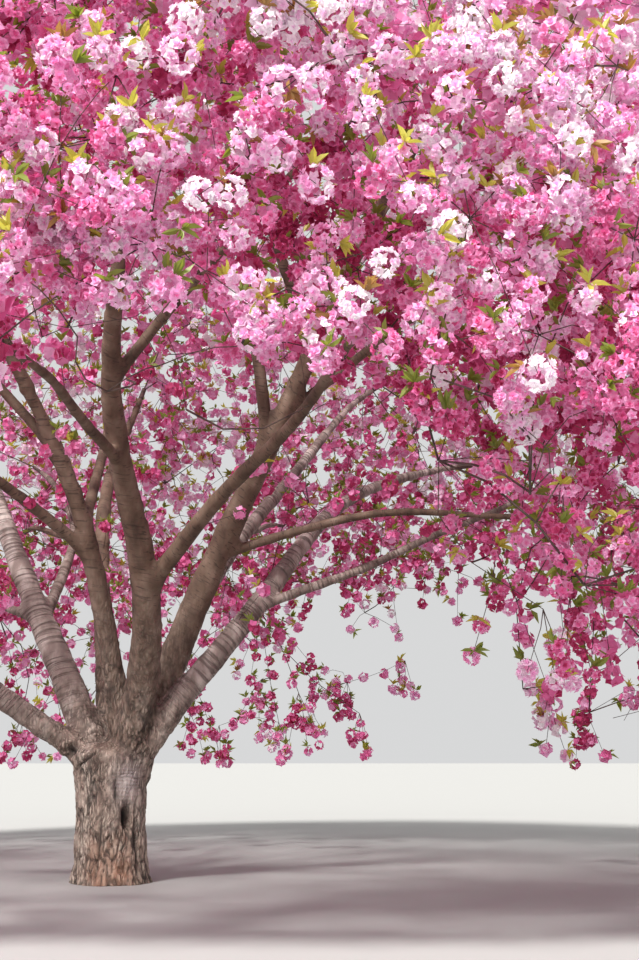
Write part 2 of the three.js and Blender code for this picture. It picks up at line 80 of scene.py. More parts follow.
# Name, carrier, place (height, compass and reach on the trunk, else a share), compass, rise,
# length, radii
LIMBS = (
    ("bough_left_low", "trunk", (0.79, 180, 0.09), (184, 212), (30, 42), 2.95, (0.092, 0.032)),
    ("bough_left", "trunk", (0.72, 165, 0.09), (146, 145), (60, 57), 3.78, (0.122, 0.038)),
    ("bough_left_front", "trunk", (0.8, 340, 0.06), (210, 238), (85, 44), 3.88, (0.088, 0.03)),
    ("bough_front", "trunk", (0.7, 325, 0.085), (322, 246, 290), (74, 59, 48), 3.62,
     (0.126, 0.046)),
    ("bough_leader", "trunk", (0.71, 10, 0.11), (18, 324, 336), (71, 62, 55), 4.9,
     (0.122, 0.034)),
    ("bough_right", "trunk", (0.69, 325, 0.1), (350, 52, 36), (58, 44, 8), 4.2, (0.1, 0.03)),
    ("bough_back_right", "trunk", (0.75, 60, 0.1), (36, 58), (68, 30), 4.38, (0.084, 0.028)),
    ("bough_back", "trunk", (0.75, 112, 0.1), (112, 82), (66, 42), 4.08, (0.088, 0.028)),
    ("limb_left_back", "bough_left", 0.33, (72, 132), (48, 30), 2.3, (0.046, 0.022)),
    ("limb_left_side", "bough_left", 0.33, (168, 160), (20, 12), 2.2, (0.034, 0.02)),
    ("limb_front_left", "bough_left_front", 0.36, (215, 228), (40, 2), 2.4, (0.044, 0.02)),
    ("limb_left_rise", "bough_left_front", 0.55, (186, 202), (52, 34), 2.1, (0.038, 0.02)),
    ("limb_rear_rise", "bough_left_front", 0.42, (88, 96), (44, 62), 2.9, (0.042, 0.02)),
    ("limb_crown_left", "bough_left_front", 0.68, (170, 184), (66, 54), 2.0, (0.036, 0.02)),
    ("limb_front_right", "bough_front", 0.36, (318, 294), (38, 12), 2.7, (0.06, 0.024)),
    ("limb_front_low", "bough_front", 0.6, (258, 264), (16, -4), 2.0, (0.038, 0.02)),
    ("limb_front_rise", "bough_front", 0.76, (338, 328), (48, 32), 2.1, (0.038, 0.02)),
    ("limb_right_long", "bough_leader", 0.325, (6, 326), (24, -16), 2.4, (0.036, 0.018)),
    ("limb_right_rise", "bough_leader", 0.54, (350, 4), (42, 28), 1.9, (0.04, 0.02)),
    ("limb_crown_back", "bough_leader", 0.6, (40, 48), (64, 54), 2.2, (0.042, 0.02)),
    ("limb_crown_top", "bough_leader", 0.5, (258, 196), (70, 84), 3.3, (0.046, 0.022)),
    ("limb_crown_front", "bough_leader", 0.66, (236, 246), (50, 50), 2.1, (0.042, 0.02)),
    ("limb_right_low", "bough_right", 0.35, (2, 6), (20, 26), 2.0, (0.036, 0.02)),
    ("limb_back_right_low", "bough_back_right", 0.4, (86, 76), (24, 8), 2.1, (0.036, 0.02)),
    ("limb_back_low", "bough_back", 0.45, (124, 114), (22, 6), 2.1, (0.036, 0.02)),
)
CROOK = 6
CROOK_TURNS = (1.3, 1.7)
CROOK_CLIMB = 0.7
PATH_STEPS = 48
COLLAR = {"swell": 0.22, "run": 1.5}
LIMB_SEGMENTS = {"bough": 7, "limb": 5}
MASSES = (
    ("skirt", 340, "limb_right_long"), ("skirt", 11, "limb_right_low"),
    ("skirt", 41, "bough_right"), ("skirt", 78, "limb_back_right_low"),
    ("skirt", 115, "limb_back_low"), ("skirt", 154, "limb_left_side"),
    ("skirt", 192, "bough_left_low"), ("skirt", 228, "limb_front_left"),
    ("skirt", 265, "limb_front_low"), ("skirt", 303, "limb_front_right"),
    ("shoulder", 0, "limb_right_rise"), ("shoulder", 54, "bough_back_right"),
    ("shoulder", 91, "bough_back"), ("shoulder", 124, "limb_left_back"),
    ("shoulder", 158, "bough_left"), ("shoulder", 200, "limb_left_rise"),
    ("shoulder", 238, "bough_left_front"), ("shoulder", 277, "bough_front"),
    ("shoulder", 318, "limb_front_rise"), ("crown", 336, "bough_leader"),
    ("crown", 45, "limb_crown_back"), ("crown", 112, "limb_rear_rise"),
    ("crown", 184, "limb_crown_left"), ("crown", 260, "limb_crown_front"),
    ("top", 270, "limb_crown_top"),
)
TIERS = {
    "skirt": {"reach": 4.05, "height": 2.38, "sprays": 9, "levels": (-1, 0.12), "fine": 17},
    "shoulder": {"reach": 3.5, "height": 4.43, "sprays": 9, "levels": (-0.1, 0.55), "fine": 17},
    "crown": {"reach": 1.95, "height": 6.13, "sprays": 8, "levels": (0.35, 0.95), "fine": 16},
    "top": {"reach": 0.2, "height": 7.08, "sprays": 9, "levels": (0.7, 1), "fine": 8},
}
# "deep" here and in FINE: the share of the sprays that sit deeper, and how much at least and most
SPRAY = {
    "reach": (0.54, 0.7), "thick": 0.47, "hem_level": -0.55, "hanging": 0.7, "least": 0.55,
    "overlap": 0.75, "favour": 0.9, "fan": 34, "cover": 0.8, "deep": (0.2, 0.5, 1.3),
}
DIMPLE = {"width": 0.45, "depth": 0.18}
TRIES = 80
TWIG = {
    "tip": 0.009, "power": 2.4, "detour": 0.35, "stem": 0.19, "sink": 0.03, "clear": 0.014,
    "stem_root": 0.92, "thickest": 0.78, "thicker": 1.25, "joints": (0.4, 0.7), "sides": 3,
}
WAY = {"steps": 8, "room": 0.06, "clear": 0.045, "level_reach": 0.9}
KEEP_OFF = 0.01
GAP = 0.0003
SEEDS = {"limb": 1000, "limb_step": 17, "mass": 5000, "mass_step": 31}

# What grows on from the rule
FINE = {"reach": (0.3, 0.46), "deep": (0.45, 0.25, 1.15), "tip": 0.005}
STEM = {"behind": 0.01, "ahead": 0.03, "widths": (1.0, 1.0, 0.9, 0.8)}
ARCH = {"shares": (0, 0.33, 0.66, 1.0), "bend": 0.26, "rise": 0.1}
FRONT = {"compass": 285, "span": 62, "more": 1.4}
FILL = {
    "tries": 12000, "below_waist": 0.3, "reach": (0.3, 0.44), "deep_share": 0.42,
    "deep": (0.2, 1.6), "dent": 0.6, "dent_scale": 0.8, "apart": 0.91, "dense_apart": 0.61,
    "behind_apart": 0.5, "hem_twig": 0.5, "radius": (0.0058, 0.0036), "seed": 97,
}
SHOOT = {
    "per_reach": 10, "least": 3, "most": 8, "denser": 1.25, "length": (0.78, 1.12),
    "lift": (0.12, 0.42), "droop": (0.08, 0.36), "hang": (0.42, 0.8), "radius": (0.0031, 0.0017),
    "turn": 0.6, "aside": 0.45, "straight": 0.1, "below_hem": 0.12, "shares": (0, 0.4, 1.0),
}
CLUSTER = {
    "spacing": 0.115, "most": 6, "radius": (0.066, 0.09), "stray": 0.038, "hang": 0.03,
    "off_boughs": 0.1, "outside": 0.17, "on_twigs": 0.15, "twig_from": 0.2, "below_limbs": 1.2,
    "bounds": (-1.2, 1.2), "uneven": 0.04, "beyond": 1.05, "kept": 0.95,
    "from": {"spray": 0.16, "limb": 0.5},
}
# Painted light in the cluster tints: pale near-white tints on the crown's sunny upper skin are
# painted highlight, and deeper tints inside the crown and on its underside are painted shade; the
# spray and cluster terms are random, and clusters out of the camera's view are set deeper, with less
# painted highlight
TINT_AND_PAINTED_LIGHT = {"skin": 0.05, "depth": 0.5, "deepest": 2.9, "under": 2.5, "under_shade_heights": (1.5, 3.8),
        "spray": 0.85, "cluster": 0.65, "unseen": 0.75}
SIDE_TWIG = {"spacing": 0.33, "from": 1.15, "length": (0.3, 0.75), "least_depth": 0.5,
             "uneven": 0.05, "aside": 0.8, "ahead": 0.5, "up": 0.15, "lift": 0.15,
             "droop": (0.1, 0.45)}
# Distances at which clusters get plainer, and the row of the photograph above which far ones
# are hidden by nearer ones
DETAIL = {"near": 5.6, "mid": 6.9, "hidden": 8.6, "hidden_row": 370, "margin": 0.01}
# Pixels of the photograph: no sky shows above this row, and no near blossom below this edge,
# given as columns and rows
DENSE_ROW = 430
NEAR_EDGE = ((0, 350), (100, 330), (170, 285), (240, 345), (330, 400), (420, 430), (500, 450),
             (570, 470), (639, 490))
# Below that edge blossom starts at a distance that changes between two columns, and beyond it
# sprays stand closer between two rows
OPENING = {"columns": (380, 480), "starts": (8.3, 6.0), "ragged": 80, "behind": (380, 600),
           "smaller": 0.8}
# The hem to the right of a column: its row and the share of the sprays kept, at two columns
HEM = {"from": 150, "columns": (300, 450), "rows": (595, 562), "kept": (0.85, 0.3)}
# Outside the photograph: the share of the clusters kept, at two depths in the crown
UNSEEN = {"depths": (0.4, 0.9), "kept": (0.95, 0.4), "larger": 1.24}
SLIM = 0.38
VARIANTS = 8
LEAF = {"near": 0.85, "seen": 0.72, "unseen": 0.15, "length": (0.05, 0.092), "width": 0.36,
        "fold": 0.12, "count": (4, 8), "tuft": (0.9, 0.6), "spread": 0.75, "off": 0.75,
        "roll": 0.5, "greener_in_shade": (0.5, 1.5, 0.1)}

DRAWS = np.random.default_rng(20260)
UP = np.array([0.0, 0.0, 1.0])
NEAR_UP = UP + 0.01
STEEP = 0.9


def drawn(bounds, count=None):
    low, high = bounds
    return low + (high - low) * DRAWS.random(count)


def make_camera():
    data = bpy.data.cameras.new("photo_camera")
    data.lens = CAMERA["lens"]
    data.sensor_width = CAMERA["sensor"]
    data.clip_end = CAMERA["far"]
    camera = bpy.data.objects.new("photo_camera", data)
    camera.location = CAMERA["place"]
    camera.rotation_euler = (math.radians(90 + CAMERA["pitch"]), 0, 0)
    bpy.context.scene.collection.objects.link(camera)
    bpy.context.scene.camera = camera


make_camera()


# The rule of the solids
def seeded_draws(seed):
    state = [seed & 0xFFFFFFFF]

    def draw():
        state[0] = (state[0] + 0x6D2B79F5) & 0xFFFFFFFF
        mixed = state[0]
        mixed = ((mixed ^ (mixed >> 15)) * (mixed | 1)) & 0xFFFFFFFF
        mixed ^= (mixed + (((mixed ^ (mixed >> 7)) * (mixed | 61)) & 0xFFFFFFFF)) & 0xFFFFFFFF
        return ((mixed ^ (mixed >> 14)) & 0xFFFFFFFF) / 4294967296

    return draw


def mix(low, high, share):
    return low + (high - low) * share


def unit(vectors):
    return vectors / np.maximum(np.linalg.norm(vectors, axis=-1, keepdims=True), 1e-9)


def length_of(vectors):
    return np.linalg.norm(vectors, axis=-1)


def turn_between(start, end):
    return (end - start + 180) % 360 - 180


def compass_of(places):
    return np.degrees(np.arctan2(places[..., 1], places[..., 0]))


def direction(compass, rise):
    compass, rise = np.radians(compass), np.radians(rise)
    level = np.cos(rise)
    parts = (level * np.cos(compass), level * np.sin(compass), np.sin(rise))
    return np.stack(np.broadcast_arrays(*parts), axis=-1)


def point_on(path, share):
    place = np.asarray(share) * (len(path) - 1)
    first = np.minimum(np.floor(place).astype(int), len(path) - 2)
    rest = (place - first)[..., None]
    return path[first] * (1 - rest) + path[first + 1] * rest


def heading_on(path, share):
    half = 0.5 / (len(path) - 1)
    ahead = point_on(path, np.minimum(np.asarray(share) + half, 1))
    return unit(ahead - point_on(path, np.maximum(np.asarray(share) - half, 0)))


def grow_path(index, limb, paths):
    _, carrier, place, compass, rise, length, _ = limb
    draw = seeded_draws(SEEDS["limb"] + SEEDS["limb_step"] * index)
    phases = (draw(), draw())
    if carrier == "trunk":
        height, bearing, offset = place
        start = direction(bearing, 0) * offset + UP * height
    else:
        start = point_on(paths[carrier], place)
    t = (np.arange(PATH_STEPS) + 0.5) / PATH_STEPS
    sway = CROOK * np.sqrt(t)
    compass = np.unwrap(np.array(compass, float), period=360)
    heading, climb = (np.interp(t, np.linspace(0, 1, len(turns)), turns)
                      for turns in (compass, rise))
    heading = heading + sway * np.sin(2 * np.pi * (CROOK_TURNS[0] * t + phases[0]))
    climb = climb + CROOK_CLIMB * sway * np.sin(2 * np.pi * (CROOK_TURNS[1] * t + phases[1]))
    steps = direction(heading, climb) * (length / PATH_STEPS)
    return np.vstack([start, start + np.cumsum(steps, axis=0)])


def limb_radius(limb, t):
    root, tip = limb[6]
    collar = COLLAR["swell"] * np.exp(-t * limb[5] / (COLLAR["run"] * root))
    return mix(root, tip, t) * (1 + collar)


def trunk_reach(height, angle):
    flare = TRUNK["flare"] * np.exp(-height / TRUNK["flare_height"])
    below = (TRUNK["fork"] * TRUNK["crotch_from"] - height) / TRUNK["collar_height"]
    reach = TRUNK["waist"] + flare + TRUNK["collar"] * np.exp(-below * below)
    for compass in ROOT_TOES:
        off = turn_between(compass, np.degrees(angle)) / TRUNK["toe_span"]
        reach = reach + TRUNK["toe"] * np.exp(-off * off - height / TRUNK["toe_height"])
    return reach


def kind_of(name):
    return name.split("_")[0]


BOUGHS = [limb for limb in LIMBS if kind_of(limb[0]) == "bough"]
LESSER_LIMBS = [limb for limb in LIMBS if kind_of(limb[0]) == "limb"]


def skirt_height(compass):
    off = turn_between(CROWN["lift_compass"], compass) / CROWN["lift_span"]
    return CROWN["skirt"] + CROWN["skirt_lift"] * np.exp(-off * off)


def crown_radius(compass):
    turn = np.radians(compass)
    wave = sum(size * np.sin(number * turn + phase) for size, number, phase in CROWN["waves"])
    return CROWN["radius"] * (1 + CROWN["wave"] * wave)


def crown_surface(compass, level):
    radius = crown_radius(compass)
    drop = np.minimum(level, 0)
    turn = np.maximum(level, 0) * np.pi / 2
    power = 2 / CROWN["roundness"]
    hem = mix(CROWN["waist"], skirt_height(compass), -drop)
    dome = CROWN["waist"] + (CROWN["top"] - CROWN["waist"]) * np.sin(turn) ** power
    shrink = np.where(level < 0, 1 - CROWN["tuck"] * drop * drop,
                      np.abs(np.cos(turn)) ** power)
    out = direction(compass, 0) * (radius * shrink)[..., None]
    out[..., :2] += AXIS
    out[..., 2] = np.where(level < 0, hem, dome)
    return out


def crown_depth(points):
    aside = points[..., :2] - AXIS
    reach = length_of(aside)
    compass = compass_of(aside)
    radius = crown_radius(compass)
    hem = skirt_height(compass)
    height = points[..., 2]
    drop = (CROWN["waist"] - height) / (CROWN["waist"] - hem)
    under = np.minimum(radius * (1 - CROWN["tuck"] * drop * drop) - reach, height - hem)
    rise = np.maximum(height - CROWN["waist"], 0) / (CROWN["top"] - CROWN["waist"])
    power = CROWN["roundness"]
    scaled = ((reach / radius) ** power + rise ** power) ** (1 / power)
    scaled = np.maximum(scaled, CROWN["heart"])
    over = (1 - scaled) * np.hypot(reach, height - CROWN["waist"]) / scaled
    return np.where(height < CROWN["waist"], under, over)


def outward_at(surface):
    """The direction in which the crown's surface faces, away from its axis or its waist."""
    heart = np.column_stack([np.tile(AXIS, (len(surface), 1)),
                             np.minimum(CROWN["waist"], surface[:, 2])])
    return unit(surface - heart)


def mass_centre(mass):
    tier = TIERS[mass[0]]
    centre = direction(mass[1], 0) * tier["reach"] + UP * tier["height"]
    centre[:2] += AXIS
    return centre


PATHS = {}
for number, row in enumerate(LIMBS):
    PATHS[row[0]] = grow_path(number, row, PATHS)
CENTRES = np.array([mass_centre(mass) for mass in MASSES])


def lines_of_limbs():
    starts, ends, radii = [], [], []
    for limb in LIMBS:
        places = np.linspace(0, 1, LIMB_SEGMENTS[kind_of(limb[0])] + 1)
        points = point_on(PATHS[limb[0]], places)
        starts.append(points[:-1])
        ends.append(points[1:])
        radii.append(limb_radius(limb, places[:-1]))
    return np.vstack(starts), np.vstack(ends), np.concatenate(radii)


LINES = lines_of_limbs()


def nearest_on(starts, runs, points):
    """Share of every run where it is nearest to each point, and the way from there to it."""
    off = points[..., None, :] - starts
    share = np.clip((off * runs).sum(-1) / (runs * runs).sum(-1), 0, 1)
    return share, off - share[..., None] * runs


def space_around(points, index):
    own = CENTRES[index]
    others = np.delete(CENTRES, index, axis=0)
    apart = length_of(others - own)
    to_own = ((points - own) ** 2).sum(-1)[..., None]
    to_others = ((points[..., None, :] - others) ** 2).sum(-1)
    return ((to_others - to_own) / (2 * apart)).min(-1)


def clear_of_limbs(points, reach=WAY["level_reach"]):
    starts, ends, radii = LINES
    way = length_of(nearest_on(starts, ends - starts, points)[1]) - radii
    above = points[..., None, 2] - starts[:, 2]
    return np.where(np.abs(above) < reach, way, np.inf).min(-1)


def place_sprays(mass, index, count, widths, deep_rule, draw, sprays):
    """Sprays of one mass: the next is always the one of some tries that leaves the widest way."""
    tier = TIERS[mass[0]]
    fine = bool(sprays)
    placed = list(sprays)
    for _ in range(count):
        width = mix(*widths, draw())
        deep = draw() < deep_rule[0]
        tries = np.array([[draw(), draw(), draw()] for _ in range(TRIES)])
        if mass[0] == "top":
            compass = 360 * tries[:, 0]
        else:
            compass = mass[1] + mix(-SPRAY["fan"], SPRAY["fan"], tries[:, 0])
        level = mix(*tier["levels"], tries[:, 1])
        surface = crown_surface(compass, level)
        outward = outward_at(surface)
        size = width * np.where(level < SPRAY["hem_level"], SPRAY["hanging"], 1)
        edge = np.clip(space_around(surface, index) / DIMPLE["width"], 0, 1)
        depth = SPRAY["thick"] * size + DIMPLE["depth"] * (1 - edge) ** 2
        if deep:
            depth = depth + mix(*deep_rule[1:], tries[:, 2])
        point = surface - outward * depth[:, None]
        room = space_around(point, index) - KEEP_OFF
        if not fine:
            room = np.minimum(room, clear_of_limbs(point) - TWIG["clear"])
        reach = np.minimum(size, room)
        good = (reach >= SPRAY["least"] * size) & (
            crown_depth(point) >= SPRAY["cover"] * SPRAY["thick"] * reach)
        score = np.full(TRIES, width)
        for other in placed:
            apart = length_of(point - other["point"])
            score = np.minimum(score, apart - SPRAY["overlap"] * (reach + other["reach"]))
        score = np.where(good, score + SPRAY["favour"] * reach, -np.inf)
        best = int(np.argmax(score))
        if good[best]:
            placed.append({"point": point[best], "outward": outward[best],
                           "reach": float(reach[best]), "level": float(level[best]),
                           "fine": fine})
    return placed[len(sprays):]


def way_is_clear(start, end, first, index):
    steps = np.arange(2 if first else 1, WAY["steps"]) / WAY["steps"]
    points = start + (end - start) * steps[:, None]
    return (space_around(points, index).min() >= WAY["room"]
            and clear_of_limbs(points).min() >= WAY["clear"])


def grow_twigs(root, sprays, index):
    """Each spray joins the nearest node of the growing twigs; fine ones may join along a twig."""
    nodes = [{"point": root, "parent": -1, "travelled": 0.0, "share": 0.0}]
    for fine in (False, True):
        waiting = [spray for spray in sprays if spray["fine"] == fine]
        waiting.sort(key=lambda spray: length_of(spray["point"] - root))
        for spray in waiting:
            best = None
            for place, node in enumerate(nodes):
                feet = [node["point"]]
                if fine and place > 0:
                    before = nodes[node["parent"]]["point"]
                    feet += [mix(before, node["point"], share) for share in TWIG["joints"]]
                for number, foot in enumerate(feet):
                    way = length_of(foot - spray["point"])
                    cost = way + TWIG["detour"] * node["travelled"]
                    if best is None or cost < best[0]:
                        if fine or way_is_clear(foot, spray["point"], place == 0, index):
                            best = (cost, place, number, foot, way)
            if best:
                _, place, number, foot, way = best
                parent = place if number == 0 else nodes[place]["parent"]
                nodes.append({"point": spray["point"], "parent": parent, "share": 0.0,
                              "travelled": nodes[parent]["travelled"] + way,
                              "spray": spray, "foot": foot, "on": place})
    for place in range(len(nodes) - 1, 0, -1):
        node = nodes[place]
        tip = FINE["tip"] if node["spray"]["fine"] else TWIG["tip"]
        node["share"] += tip ** TWIG["power"]
        nodes[node["parent"]]["share"] += node["share"]
    return nodes


# Meshes from arrays
def eased(share):
    return share * share * (3 - 2 * share)


def hashed(cells, seed):
    mixed = (cells[..., 0] * 73856093) ^ (cells[..., 1] * 19349663) ^ (cells[..., 2] * 83492791)
    mixed = (mixed ^ (seed * 2654435761)) & 0xFFFFFFFF
    for shift, factor in ((13, 1274126177), (16, 2246822519)):
        mixed = ((mixed ^ (mixed >> shift)) * factor) & 0xFFFFFFFF
    return (mixed ^ (mixed >> 15)) / 2147483648.0 - 1


def noise_at(points, seed):
    """Smooth noise between -1 and 1 on a lattice of side 1."""
    cell = np.floor(points).astype(np.int64)
    ease = eased(points - cell)
    total = np.zeros(len(points))
    for corner in itertools.product((0, 1), repeat=3):
        weight = np.prod(np.where(np.array(corner) == 1, ease, 1 - ease), axis=1)
        total += weight * hashed(cell + np.array(corner), seed)
    return total


def layered_noise(points, seed):
    """Three layers of noise, each twice as fine and half as strong as the one before."""
    layers = (1, 2, 4)
    total = sum(noise_at(points * fine, seed + n) / fine for n, fine in enumerate(layers))
    return total / sum(1 / fine for fine in layers)


def plates_at(points, seed):
    """Distance to the nearest edge between plates, and a height for each plate."""
    cell = np.floor(points).astype(np.int64)
    nearest, second = np.full((2, len(points)), np.inf)
    height = np.zeros(len(points))
    for offset in itertools.product((-1, 0, 1), repeat=3):
        home = cell + np.array(offset)
        spots = np.stack([hashed(home, seed + axis) for axis in range(3)], 1)
        apart = length_of(points - (home + 0.5 + PLATES["stray"] * spots))
        closer = apart < nearest
        second = np.where(closer, nearest, np.minimum(second, apart))
        height = np.where(closer, hashed(home, seed + 7), height)
        nearest = np.where(closer, apart, nearest)
    return second - nearest, height


def mesh_piece(name, points, faces, material, smooth=True):
    mesh = bpy.data.meshes.new(name)
    mesh.vertices.add(len(points))
    mesh.vertices.foreach_set("co", np.ascontiguousarray(points, np.float32).ravel())
    mesh.loops.add(faces.size)
    mesh.loops.foreach_set("vertex_index", np.ascontiguousarray(faces, np.int32).ravel())
    mesh.polygons.add(len(faces))
    starts = np.arange(0, faces.size, faces.shape[1], dtype=np.int32)
    mesh.polygons.foreach_set("loop_start", starts)
    mesh.polygons.foreach_set("use_smooth", np.full(len(faces), smooth))
    mesh.materials.append(material)
    mesh.update(calc_edges=True)
    piece = bpy.data.objects.new(name, mesh)
    bpy.context.scene.collection.objects.link(piece)
    return piece


def joined(parts):
    """Points and faces of many arrays, as one pair."""
    points, faces, count = [], [], 0
    for some_points, some_faces in parts:
        points.append(some_points)
        faces.append(some_faces + count)
        count += len(some_points)
    return np.vstack(points), np.vstack(faces)


def repeated(points, faces):
    """The points of many copies of a shape as one list, with the shape's faces for each."""
    shift = np.arange(len(points))[:, None, None] * np.prod(points.shape[1:-1])
    return points.reshape(-1, 3), (faces + shift).reshape(-1, 3)


def guide_for(ways):
    """For each direction another one that is never along it."""
    return np.where(np.abs(ways[..., 2:]) > STEEP, np.array([1.0, 0, 0]), UP)


def around_axis(reach, turn, height):
    return np.column_stack([reach * np.cos(turn), reach * np.sin(turn), height])


def tube_faces(steps, sides):
    around = np.arange(sides)
    after = (around + 1) % sides
    faces = []
    for low in range(0, (steps - 1) * sides, sides):
        high = low + sides
        faces.append(np.stack([low + around, high + around, high + after], 1))
        faces.append(np.stack([low + around, high + after, low + after], 1))
    inner = np.arange(1, sides - 1)
    last = (steps - 1) * sides
    faces.append(np.stack([np.zeros_like(inner), inner, inner + 1], 1))
    faces.append(np.stack([np.full_like(inner, last), last + inner + 1, last + inner], 1))
    return np.vstack(faces)


def tubes(lines, radii, sides):
    """Closed tubes of triangles along many lines of the same number of points."""
    tangent = unit(np.gradient(lines, axis=1))
    guide = np.broadcast_to(guide_for(tangent[:, :1]), tangent.shape)
    side = unit(np.cross(tangent, guide))
    front = np.cross(side, tangent)
    turn = (2 * np.pi * np.arange(sides) / sides)[:, None]
    ring = np.cos(turn) * side[:, :, None] + np.sin(turn) * front[:, :, None]
    points = lines[:, :, None] + ring * radii[:, :, None, None]
    return repeated(points, tube_faces(radii.shape[1], sides))


# Materials
BARK = {
    "old": ((0.60, 0.52, 0.47), (0.74, 0.67, 0.61), (0.86, 0.80, 0.74)),
    "silver": ((0.45, 0.39, 0.37), (0.57, 0.51, 0.48), (0.76, 0.71, 0.68)),
    # The brown bark is painted shade: a darker, browner copy of the bough bark for the boughs in the
    # crown's shade
    "shade_brown": ((0.29, 0.22, 0.18), (0.40, 0.32, 0.26), (0.50, 0.42, 0.36)),
    "crack": (0.36, 0.29, 0.25), "ring": (0.31, 0.25, 0.23), "mark": (0.20, 0.15, 0.13),
    # The furrow colour is near-black painted shade in the cracks, furrows, cavity and the knot's
    # hollow
    "banded": (0.78, 0.74, 0.74), "russet": (0.66, 0.45, 0.33), "furrow_shade": (0.10, 0.08, 0.07),
    "twig": ((0.24, 0.18, 0.16), (0.40, 0.32, 0.29)),
}
# Where on the noise those colours stand
PLACES = {"old": (0.3, 0.5, 0.68), "silver": (0.3, 0.5, 0.68), "shade_brown": (0.3, 0.5, 0.7),
          "twig": (0.35, 0.65)}
# Rings on young bark and marks on the darker brown bark painted as shade: how close along and round a
# bough, and thresholds
RINGS = {"rings": (58.0, 7.0, 0.49, 0.64), "marks": (80.0, 26.0, 0.58, 0.66), "strength": 0.7}
FLAKES = {"scale": 48.0, "flat": 0.17, "edge": 0.26, "warp": 0.05, "worn": (-0.9, 1.7)}
# Old bark turns browner on the boughs in the crown's shade, as painted shade
OLD_BARK = {"browner_in_shade": 0.55, "banded": 0.85, "ring_relief": 1.1, "fine_relief": 0.5}
# Noises of the bark: stretch upwards, scale and detail, then those with scale and detail only
GRAIN = {"grain": (0.45, 9.0, 6.0), "fine": (0.4, 75.0, 5.0)}
WARP_NOISE = (12.0, 3.0)
WORN_NOISE = (14.0, 3.0)
RING_NOISE = (1.0, 2.5)
TWIG_SCALE = 14.0
# Roughness over the noise, and strength and distance of the relief, of each skin
SKINS = {
    "bark": ((0.95, 0.6), 0.9, 0.008), "twig": ((0.8, 0.55), 0.4, 0.003),
    "petal": ((0.45, 0.75), 0.35, 0.004), "leaf": ((0.35, 0.6), 0.35, 0.004),
}
# The share of the light that petals and leaves let through, and the scale of their noise
THROUGH = {"petal": (0.32, 60.0), "leaf": (0.35, 40.0)}


def linear(colour):
    return tuple(c / 12.92 if c <= 0.04045 else ((c + 0.055) / 1.055) ** 2.4 for c in colour)


class Material:
    """A material whose nodes come from calls that each give back one output."""

    def __init__(self, name):
        self.data = bpy.data.materials.new(name)
        self.data.use_nodes = True
        self.tree = self.data.node_tree
        self.shader = self.tree.nodes["Principled BSDF"]

    def fill(self, node, inputs):
        for key, value in inputs.items():
            if isinstance(value, bpy.types.NodeSocket):
                self.tree.links.new(value, node.inputs[key])
            else:
                node.inputs[key].default_value = value

    def add(self, kind, output, inputs, **settings):
        node = self.tree.nodes.new(kind)
        for key, value in settings.items():
            setattr(node, key, value)
        self.fill(node, inputs)
        return node.outputs[output]

    def place(self):
        return self.add("ShaderNodeTexCoord", "Object", {})

    def share(self, name):
        return self.add("ShaderNodeAttribute", "Fac", {}, attribute_name=name)

    def math(self, operation, first, second):
        return self.add("ShaderNodeMath", "Value", {0: first, 1: second}, operation=operation)

    def moved(self, first, factor, added):
        return self.add("ShaderNodeVectorMath", "Vector", {0: first, 1: (factor,) * 3, 2: added},
                        operation="MULTIPLY_ADD")

    def scaled(self, place, stretch):
        return self.add("ShaderNodeMapping", "Vector", {"Vector": place, "Scale": stretch})

    def noise(self, place, scale, detail=4.0, output="Fac"):
        return self.add("ShaderNodeTexNoise", output,
                        {"Vector": place, "Scale": scale, "Detail": detail})

    def spread(self, source, low, high, ends="To"):
        """Takes 0 to 1 to two values, or from two values with the ends "From"."""
        return self.add("ShaderNodeMapRange", "Result",
                        {"Value": source, ends + " Min": low, ends + " Max": high})

    def ramp(self, source, name):
        ramp = self.tree.nodes.new("ShaderNodeValToRGB")
        elements = ramp.color_ramp.elements
        while len(elements) < len(PLACES[name]):
            elements.new(0.5)
        for element, place, colour in zip(elements, PLACES[name], BARK[name]):
            element.position = place
            element.color = (*linear(colour), 1)
        self.fill(ramp, {"Fac": source})
        return ramp.outputs["Color"]

    def blend(self, share, first, second):
        """Between two colours, each of them an output or the name of a colour of the bark."""
        first, second = ((*linear(BARK[colour]), 1) if isinstance(colour, str) else colour
                         for colour in (first, second))
        return self.add("ShaderNodeMix", "Result", {"Factor": share, "A": first, "B": second},
                        data_type="RGBA")

    def finish(self, colour, skin, noise, height):
        """The colour, the roughness from a noise and the relief from a height."""
        roughness, strength, distance = SKINS[skin]
        relief = self.add("ShaderNodeBump", "Normal",
                          {"Height": height, "Strength": strength, "Distance": distance})
        self.fill(self.shader, {"Base Color": colour, "Normal": relief,
                                "Roughness": self.spread(noise, *roughness)})
        return self.data


def soft_material(name, colour, glow, skin):
    """Petal or leaf: a plain colour, uneven gloss and relief, and light let through."""
    soft = Material(name)
    share, scale = THROUGH[skin]
    noise = soft.noise(soft.place(), scale)
    through = soft.add("ShaderNodeBsdfTranslucent", "BSDF", {"Color": (*linear(glow), 1)})
    surface = soft.add("ShaderNodeMixShader", "Shader",
                       {"Fac": share, 1: soft.shader.outputs["BSDF"], 2: through})
    soft.fill(soft.tree.nodes["Material Output"], {"Surface": surface})
    return soft.finish((*linear(colour), 1), skin, noise, noise)


